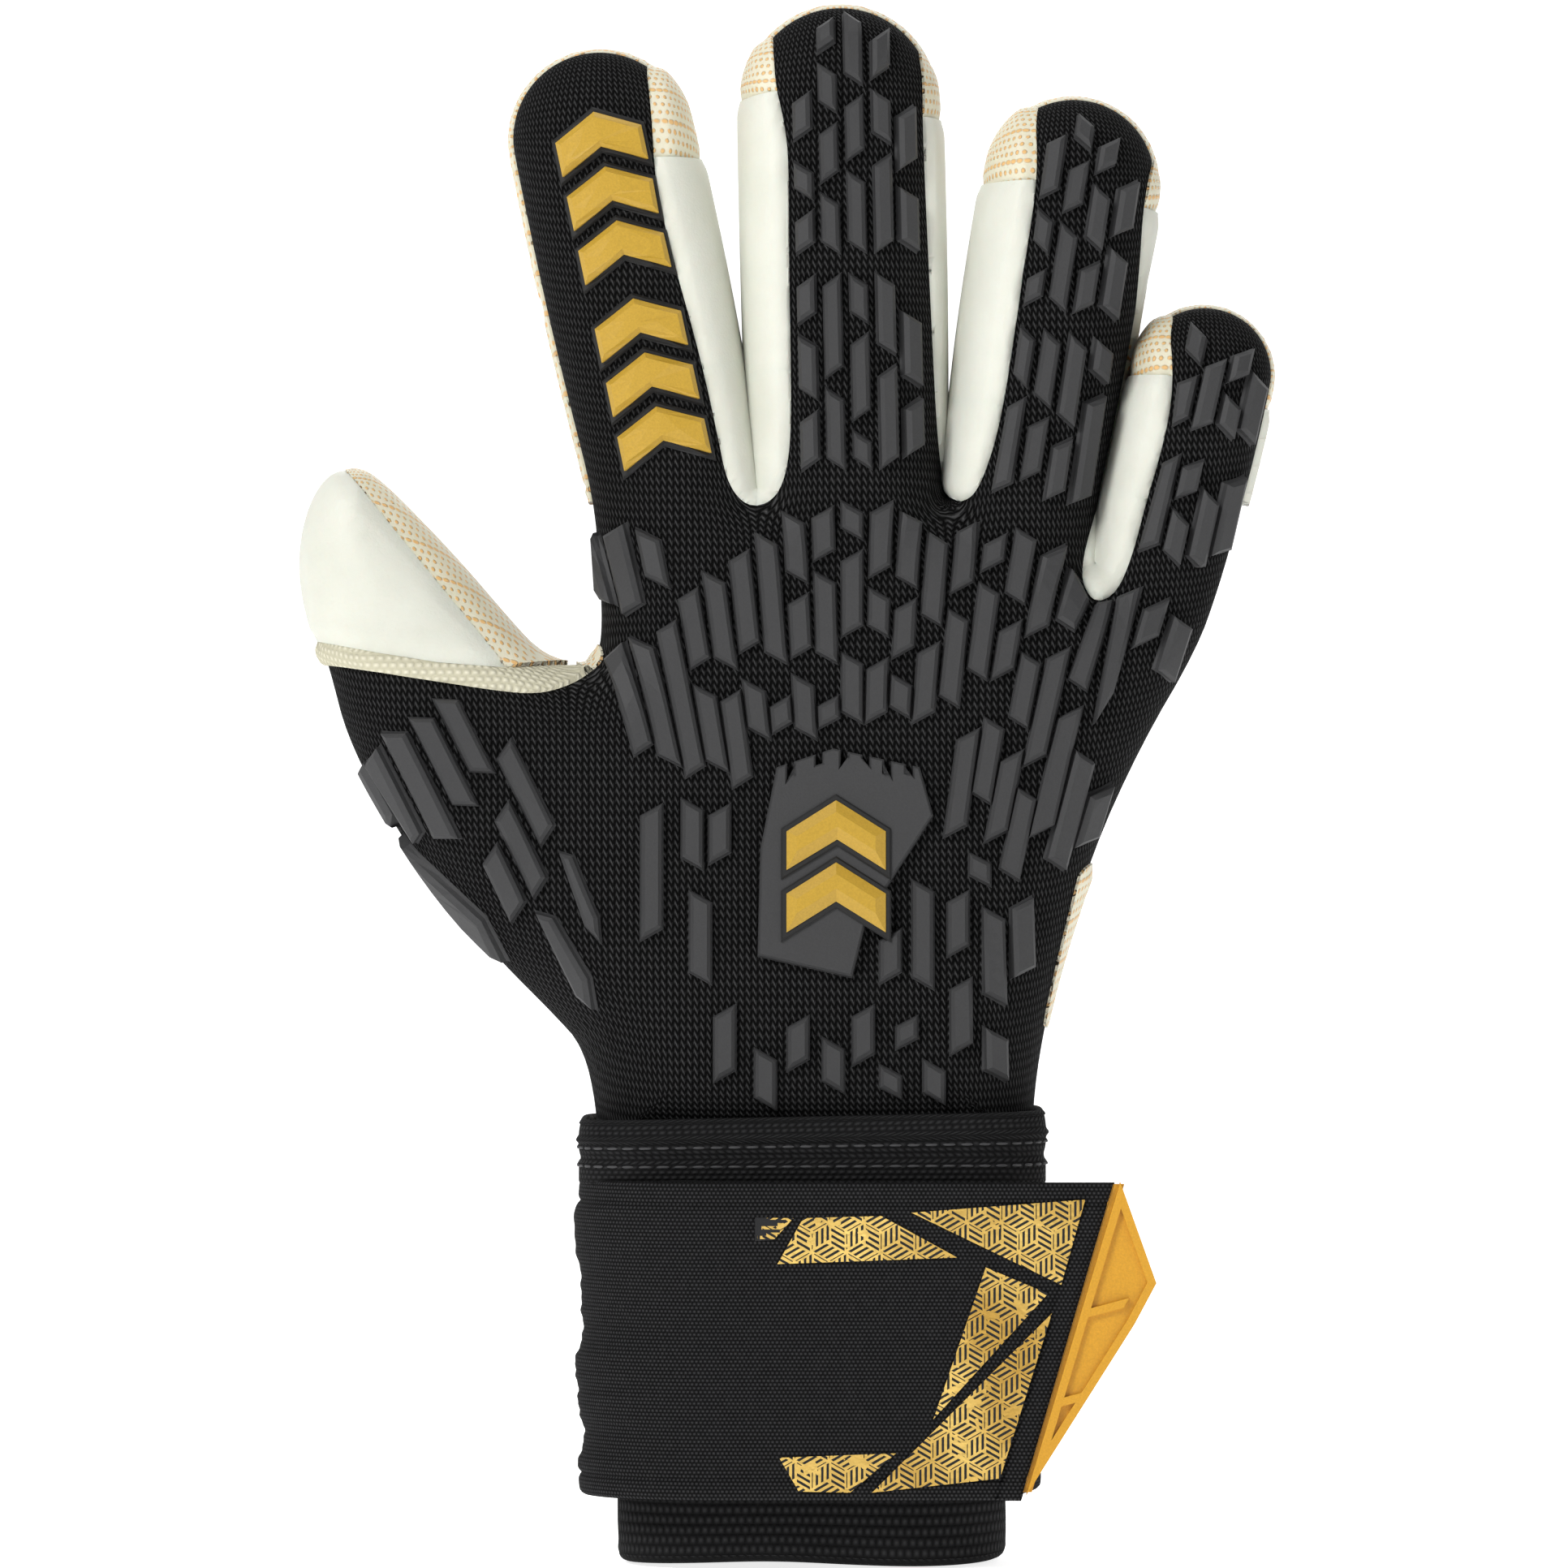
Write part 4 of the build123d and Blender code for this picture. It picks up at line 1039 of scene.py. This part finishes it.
def strap_points(way, z):
    """Points on the strap's outer face and its normals there. way runs from 0 to 1 round the wrist, then 1 to 2."""
    w = np.clip(way, 0, 1) * WRAP_WAY[-1]
    x = np.interp(w, WRAP_WAY, WRAP[:, 0])
    y = np.interp(w, WRAP_WAY, WRAP[:, 1])
    e = 1.5
    tx = np.interp(w + e, WRAP_WAY, WRAP[:, 0]) - np.interp(w - e, WRAP_WAY, WRAP[:, 0])
    ty = np.interp(w + e, WRAP_WAY, WRAP[:, 1]) - np.interp(w - e, WRAP_WAY, WRAP[:, 1])
    tip = TIP_LOW + (TIP_HIGH - TIP_LOW) * np.clip((z - STRAP_LOW) / (STRAP_HIGH - STRAP_LOW), 0, 1)
    flat = np.clip(way - 1, 0, 1) * (tip - WRAP[-1, 0])
    n = np.stack([ty, -tx, np.zeros_like(tx)], axis=1)
    n /= np.linalg.norm(n, axis=1)[:, None]
    n = np.where((n[:, 1] > 0)[:, None] & (np.abs(n[:, 1]) > np.abs(n[:, 0]))[:, None], -n, n)
    n = np.where((way > 1)[:, None], np.array([[0.0, -1.0, 0.0]]), n)
    return np.stack([x + flat, y, z], axis=1), n, w + flat


def strap_mesh():
    """The strap's outer turn: a thick strip with rounded edges and a hem that ends in a groove."""
    ways = np.concatenate([np.linspace(0, 1, 40), 1 + np.linspace(0, 1, 66)[1:]])
    edge = np.array([0, 0.12, 0.35, 0.75, 1.3])
    zs = np.concatenate([STRAP_LOW + edge, np.linspace(STRAP_LOW + 2, STRAP_HIGH - 2, 110), STRAP_HIGH - edge[::-1]])
    gw, gz = np.meshgrid(ways, zs, indexing="ij")
    p, n, way = strap_points(gw.ravel(), gz.ravel())
    side = np.minimum(gz.ravel() - STRAP_LOW, STRAP_HIGH - gz.ravel())
    tip = (TIP_LOW + (TIP_HIGH - TIP_LOW) * (gz.ravel() - STRAP_LOW) / (STRAP_HIGH - STRAP_LOW) - p[:, 0]) * 0.958
    start = gw.ravel() * 22
    d = np.minimum(np.minimum(side, tip), start)
    half = THICK / 2 * np.sqrt(np.clip(1 - (1 - np.minimum(d, 1.3) / 1.3) ** 2, 0, 1))
    hem = -0.55 * np.exp(-((side - 4.0) / 0.5) ** 2) - 0.8 * np.exp(-((tip - 4.4) / 0.45) ** 2)
    swell = 0.28 * smooth((4.3 - tip) / 1.0)
    wave = creases(p[:, 0], p[:, 1], p[:, 2])
    middle = p - n * (THICK / 2) + n * wave[:, None]
    front = middle + n * (half + hem * (half > 1.0) + swell * (half > 0.6) - 0.28)[:, None]
    back = middle - n * half[:, None]
    m, k = len(ways), len(zs)
    index = np.arange(m * k).reshape(m, k)
    a, b, c, e = index[:-1, :-1].ravel(), index[1:, :-1].ravel(), index[1:, 1:].ravel(), index[:-1, 1:].ravel()
    top = np.stack([a, b, c, e], axis=1)
    under = np.stack([e, c, b, a], axis=1) + m * k
    around = np.concatenate([index[:, 0], index[-1, 1:], index[-2::-1, -1], index[0, -2:0:-1]])
    after = np.roll(around, -1)
    rimmed = np.stack([after, around, around + m * k, after + m * k], axis=1)
    piece = mesh_object("strap_outer_turn", np.concatenate([front, back]), np.concatenate([top, under, rimmed]),
                        STRAP_KNIT)
    lay_plan(piece, np.tile(np.stack([way, gz.ravel()], axis=1), (2, 1)))
    fix = bmesh.new()
    fix.from_mesh(piece.data)
    bmesh.ops.remove_doubles(fix, verts=fix.verts, dist=1e-7)
    bmesh.ops.recalc_face_normals(fix, faces=fix.faces)
    fix.to_mesh(piece.data)
    fix.free()
    return piece


def bend_strap(piece):
    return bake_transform(piece)


strap = bend_strap(strap_mesh())


def foil_material():
    """Gold print on cloth: a tiling of drawn cubes, each face hatched along one of its sides, with a worn left end."""
    s = Shader("gold_foil", (0.75, 0.50, 0.12), 0.34)
    x, z = s.plan(6.3, 6.3)
    root3 = 3 ** 0.5

    def cell(px, pz):
        gx = s.math("SUBTRACT", s.math("FRACT", px), 0.5)
        gz = s.math("MULTIPLY", s.math("SUBTRACT", s.math("FRACT", s.math("DIVIDE", pz, root3)), 0.5), root3)
        return gx, gz, s.math("ADD", s.math("MULTIPLY", gx, gx), s.math("MULTIPLY", gz, gz))

    ax, az, aa = cell(x, z)
    bx, bz, bb = cell(s.math("ADD", x, 0.5), s.math("ADD", z, root3 / 2))
    nearer = s.math("LESS_THAN", aa, bb)

    def pick(a, b):
        return s.math("ADD", b, s.math("MULTIPLY", nearer, s.math("SUBTRACT", a, b)))

    gx, gz, rr = pick(ax, bx), pick(az, bz), pick(aa, bb)
    angle = s.math("ADD", s.math("ARCTAN2", gz, gx), 2 * pi - pi / 2)
    angle = s.math("MODULO", angle, 2 * pi / 3)
    r = s.math("SQRT", rr)
    q = s.math("DIVIDE", s.math("MULTIPLY", r, s.math("SINE", angle)), sin(2 * pi / 3) / root3)
    p = s.math("ADD", s.math("MULTIPLY", s.math("MULTIPLY", r, s.math("COSINE", angle)), root3),
               s.math("MULTIPLY", q, 0.5))
    rough = s.math("MULTIPLY", s.math("SUBTRACT", s.noise(900, 3), 0.5), 0.10)
    line = s.math("PINGPONG", s.math("ADD", s.math("MULTIPLY", q, 3.2), 0.25), 0.5)
    stroke = s.math("GREATER_THAN", s.math("ADD", line, rough), 0.27)
    inside = s.math("MULTIPLY", s.math("GREATER_THAN", s.math("ADD", p, rough), 0.13),
                    s.math("LESS_THAN", s.math("ADD", p, rough), 0.90))
    missing = s.math("GREATER_THAN", s.noise(330, 1), 0.34)
    ink = s.math("MULTIPLY", s.math("MULTIPLY", stroke, inside), missing)
    mx, mz = s.plan(1, 1)
    streak = s.node("ShaderNodeTexWhiteNoise", noise_dimensions="1D")
    s.feed(streak.inputs["W"], s.math("FLOOR", s.math("MULTIPLY", mz, 1.7)))
    left = s.math("SUBTRACT", mx, WRAP_WAY[-1])
    frayed = s.math("LESS_THAN", left, s.math("MULTIPLY_ADD", streak.outputs["Value"], 6.0, 0.9))
    ink = s.math("MAXIMUM", ink, frayed)
    tone = s.mix(s.ramp(s.noise(48, 3), 0.35, 0.65), (0.86, 0.60, 0.17), (0.52, 0.31, 0.06))
    s.colour(s.mix(ink, tone, (0.008, 0.008, 0.009)))
    metal = s.math("MULTIPLY", s.math("SUBTRACT", 1.0, ink), 0.72)
    s.feed(s.main.inputs["Metallic"], metal)
    s.feed(s.main.inputs["Roughness"], s.math("MULTIPLY_ADD", ink, 0.5, 0.36))
    s.bump(s.math("SUBTRACT", 1.0, ink), 0.00012)
    s.bump(s.noise(1100, 2), 0.0002, 0.5)
    return s.material


def foil():
    """The print's panels, laid on the strap's outer face."""
    mesh = bmesh.new()
    for outline in islands("foil_print"):
        if turn_of(outline) < 0:
            outline = outline[::-1]
        foot = [mesh.verts.new((x, STRAP_FACE + 0.15, z)) for x, z in outline]
        top = [mesh.verts.new((x, STRAP_FACE - 0.02, z)) for x, z in outline]
        for i in range(len(foot)):
            j = (i + 1) % len(foot)
            mesh.faces.new((foot[i], foot[j], top[j], top[i]))
        mesh.faces.new(top)
    bmesh.ops.triangulate(mesh, faces=[f for f in mesh.faces if len(f.verts) > 4], ngon_method="EAR_CLIP")
    for x in np.arange(-11, 2, 1.0):
        bmesh.ops.bisect_plane(mesh, geom=mesh.verts[:] + mesh.edges[:] + mesh.faces[:], plane_co=(x, 0, 0),
                               plane_no=(1, 0, 0), dist=1e-4)
    bmesh.ops.recalc_face_normals(mesh, faces=mesh.faces)
    flat = np.array([(v.co.x - WRAP[-1, 0] + WRAP_WAY[-1], v.co.z) for v in mesh.verts])
    for v in mesh.verts:
        v.co = v.co * 0.001
    data = bpy.data.meshes.new("foil_panels")
    mesh.to_mesh(data)
    mesh.free()
    piece = bpy.data.objects.new("foil_panels", data)
    bpy.context.scene.collection.objects.link(piece)
    data.materials.append(foil_material())
    lay_plan(piece, flat)
    return bend_strap(piece)


foil_panels = foil()


def tab_root():
    """The soft root that joins the pull tab to the strap's slanted end."""
    points, faces = [], []
    rows = 24
    for k in range(rows):
        z = 14.2 + (70.6 - 14.2) * k / (rows - 1)
        x = 37.5 + (54.7 - 37.5) * (z - 13.7) / (71.0 - 13.7)
        for dx in (-0.6, 0.2, 0.85, 1.5, 2.6):
            points += [(x + dx, -34.0, z), (x + dx, -33.2, z)]
    for k in range(rows - 1):
        for c in range(4):
            a, b = k * 10 + 2 * c, (k + 1) * 10 + 2 * c
            faces += [(a, a + 2, b + 2, b), (a + 1, b + 1, b + 3, a + 3)]
    piece = mesh_object("pull_tab_root", np.array(points), faces, YELLOW)
    lay_plan(piece)
    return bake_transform(piece)


tab_root()

# ---- Lining, stitches and tape ------------------------------------------------------------------------------------


def lining_rows():
    """The inner sleeve, from the cuff up into the palm."""
    rows = []
    for z in np.linspace(8, 164, 40):
        t = smooth((z - 66) / 30)
        deep = min(21.6, float(half_depth(np.array([0.0]), np.array([z]))[0]) - 3.4)
        deep = 21.6 + (deep - 21.6) * t
        rows.append((32.6 - 1.6 * t, deep, deep * 0.78, z, z))
    return rows


lining = tube("lining_sleeve", lining_rows(), LINING, count=120, closed=False)


def stitches(name, path, normals, length, gap, radius, material, lean=0.0):
    """A row of short raised stitches along a path in millimetres."""
    way = np.concatenate([[0], np.cumsum(np.linalg.norm(np.diff(path, axis=0), axis=1))])
    points, faces = [], []
    for at in np.arange(gap, way[-1] - length, length + gap):
        a = np.array([np.interp(at, way, path[:, k]) for k in range(3)])
        b = np.array([np.interp(at + length, way, path[:, k]) for k in range(3)])
        n = np.array([np.interp(at, way, normals[:, k]) for k in range(3)])
        t = (b - a) / np.linalg.norm(b - a)
        n = n - t * (n @ t)
        n /= np.linalg.norm(n)
        w = np.cross(t, n)
        start = len(points)
        for along_it, size in ((0.0, 0.25), (0.18, 0.85), (0.5, 1.0), (0.82, 0.85), (1.0, 0.25)):
            c = a + (b - a) * along_it + w * lean * (along_it - 0.5)
            for angle in np.linspace(0, 2 * pi, 6, endpoint=False):
                points.append(c + radius * size * (n * (cos(angle) + 0.2) + w * sin(angle)))
        for ring in range(4):
            for k in range(6):
                i, j = start + ring * 6 + k, start + ring * 6 + (k + 1) % 6
                faces.append((i, j, j + 6, i + 6))
    return lay_plan(mesh_object(name, np.array(points), faces, material))


def round_wrist(ax, ay, r, z):
    p, n, _ = rim(ax, ay, r, 200)
    p, n = np.vstack([p, p[:1]]), np.vstack([n, n[:1]])
    out, up = band_wobble(p, np.full(len(p), z), ax)
    return np.column_stack([p + n * out[:, None], z + up]), np.column_stack([n, np.zeros(len(n))])


for number, z in enumerate((73.6, 77.4)):
    path, normals = round_wrist(43.3, 27.1, 14.5, z)
    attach(stitches(f"wrist_stitches_{number}", path, normals, 2.3, 1.0, 0.28, THREAD_GREY), "hand")

x = np.linspace(-89, -43, 60)
for number, (share, place) in enumerate(((0, 0.9), (1, -0.9))):
    z = np.array(binding_band(x))[share] + place
    base, n = surface(x, z)
    tape = stitches(f"tape_stitches_{number}", base + n * 1.0, n, 1.7, 1.0, 0.22, BINDING, 0.8)
    bend(tape, "thumb", "tip")

# ---- What stands for what -----------------------------------------------------------------------------------------

stands_for = {
    ("black", "hand", ""): ["backhand_panel", "outer_side_panel", "inner_side_panel"],
    ("palm", "hand", ""): ["palm_panel"],
    ("black", "thumb", "root"): ["thumb_root_back"],
    ("palm", "thumb", "root"): ["thumb_root_palm"],
    ("white", "thumb", "tip"): ["thumb_back"],
    ("palm", "thumb", "tip"): ["thumb_palm"],
    ("binding", "thumb", "tip"): ["thumb_binding"],
}
for f in FINGERS:
    for level in ("lower", "upper"):
        for panel, made in (("black", "back"), ("white", "gussets"), ("palm", "palm")):
            stands_for[panel, f.name, level] = [f"{f.name}_{made}_{level}"]
for key, nodes in stands_for.items():
    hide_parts(*nodes)
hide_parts("backhand_bars")
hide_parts("thumb_bars")
for f in FINGERS[1:]:
    for level in ("lower", "upper"):
        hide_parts(f"{f.name}_bars_{level}")
for level in ("lower", "upper"):
    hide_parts(f"index_chevrons_{level}")
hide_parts("emblem_plate")
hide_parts("emblem_inlays")
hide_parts("cuff_sleeve")
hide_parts("wrist_band")
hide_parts("strap_first_turn")
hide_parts("strap_second_turn", "strap_end")
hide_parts("foil_print")
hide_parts("backhand_lining", "palm_lining")


def pile(name, base, scale, depth):
    """Hook or loop tape."""
    s = Shader(name, base, 0.85)
    s.bump(s.noise(scale, 1), depth)
    return s.material


for node, material in (("pull_tab", YELLOW), ("hook_patch", pile("hook_tape", (0.02, 0.02, 0.02), 1400, 0.0006)),
                       ("loop_patch", pile("loop_tape", (0.018, 0.018, 0.019), 600, 0.0009))):
    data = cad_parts[node].data
    data.materials.clear()
    data.materials.append(material)

# ---- Stage --------------------------------------------------------------------------------------------------------

stage_mesh = bpy.data.meshes.new("backdrop")
half_width, front, back, tall, curve = 7.0, -7.0, 6.0, 8.0, 1.5
profile = [(front, 0.0)] + [(back - curve + curve * sin(a), curve - curve * cos(a)) for a in np.linspace(0, pi / 2, 14)]
profile += [(back, tall)]
verts = [(x, y, z - 0.0006) for y, z in profile for x in (-half_width, half_width)]
stage_mesh.from_pydata(verts, [], [(2 * i, 2 * i + 1, 2 * i + 3, 2 * i + 2) for i in range(len(profile) - 1)])
stage_mesh.polygons.foreach_set("use_smooth", [True] * len(stage_mesh.polygons))
backdrop = bpy.data.objects.new("backdrop", stage_mesh)
bpy.context.scene.collection.objects.link(backdrop)
paper = Shader("backdrop", (0.86, 0.86, 0.86), 0.95)
paper.main.inputs["Emission Color"].default_value = (1, 1, 1, 1)
paper.main.inputs["Emission Strength"].default_value = 0.80
stage_mesh.materials.append(paper.material)

world = bpy.data.worlds.new("studio")
bpy.context.scene.world = world
world.use_nodes = True
world.node_tree.nodes["Background"].inputs[0].default_value = (1, 1, 1, 1)
world.node_tree.nodes["Background"].inputs[1].default_value = 0.22


def lamp(name, place, target, size, power):
    data = bpy.data.lights.new(name, "AREA")
    data.shape = "RECTANGLE"
    data.size, data.size_y = size
    data.energy = power
    light = bpy.data.objects.new(name, data)
    bpy.context.scene.collection.objects.link(light)
    light.location = place
    light.rotation_euler = (Vector(target) - Vector(place)).to_track_quat("-Z", "Y").to_euler()
    return light


MIDDLE = (-0.0051, 0, 0.1438)
lamp("key", (-0.65, -0.8, 0.85), MIDDLE, (0.45, 0.45), 10.5)
lamp("fill", (0.9, -0.75, 0.3), MIDDLE, (0.7, 0.9), 1.8)
lamp("top", (0.0, 0.1, 1.1), MIDDLE, (0.8, 0.5), 3.0)
lamp("back", (0.2, 0.9, 0.6), MIDDLE, (0.9, 0.5), 2.0)

camera = bpy.data.objects.new("camera", bpy.data.cameras.new("camera"))
bpy.context.scene.collection.objects.link(camera)
camera.data.lens = 250
camera.data.sensor_width = 36
camera.data.clip_end = 20
distance = 0.2898 / (36 / 250)
camera.location = (MIDDLE[0], -0.014 - distance, MIDDLE[2])
camera.rotation_euler = (pi / 2, 0, 0)
bpy.context.scene.camera = camera
bpy.context.scene.view_settings.view_transform = "Standard"
bpy.context.scene.view_settings.exposure = 0.0
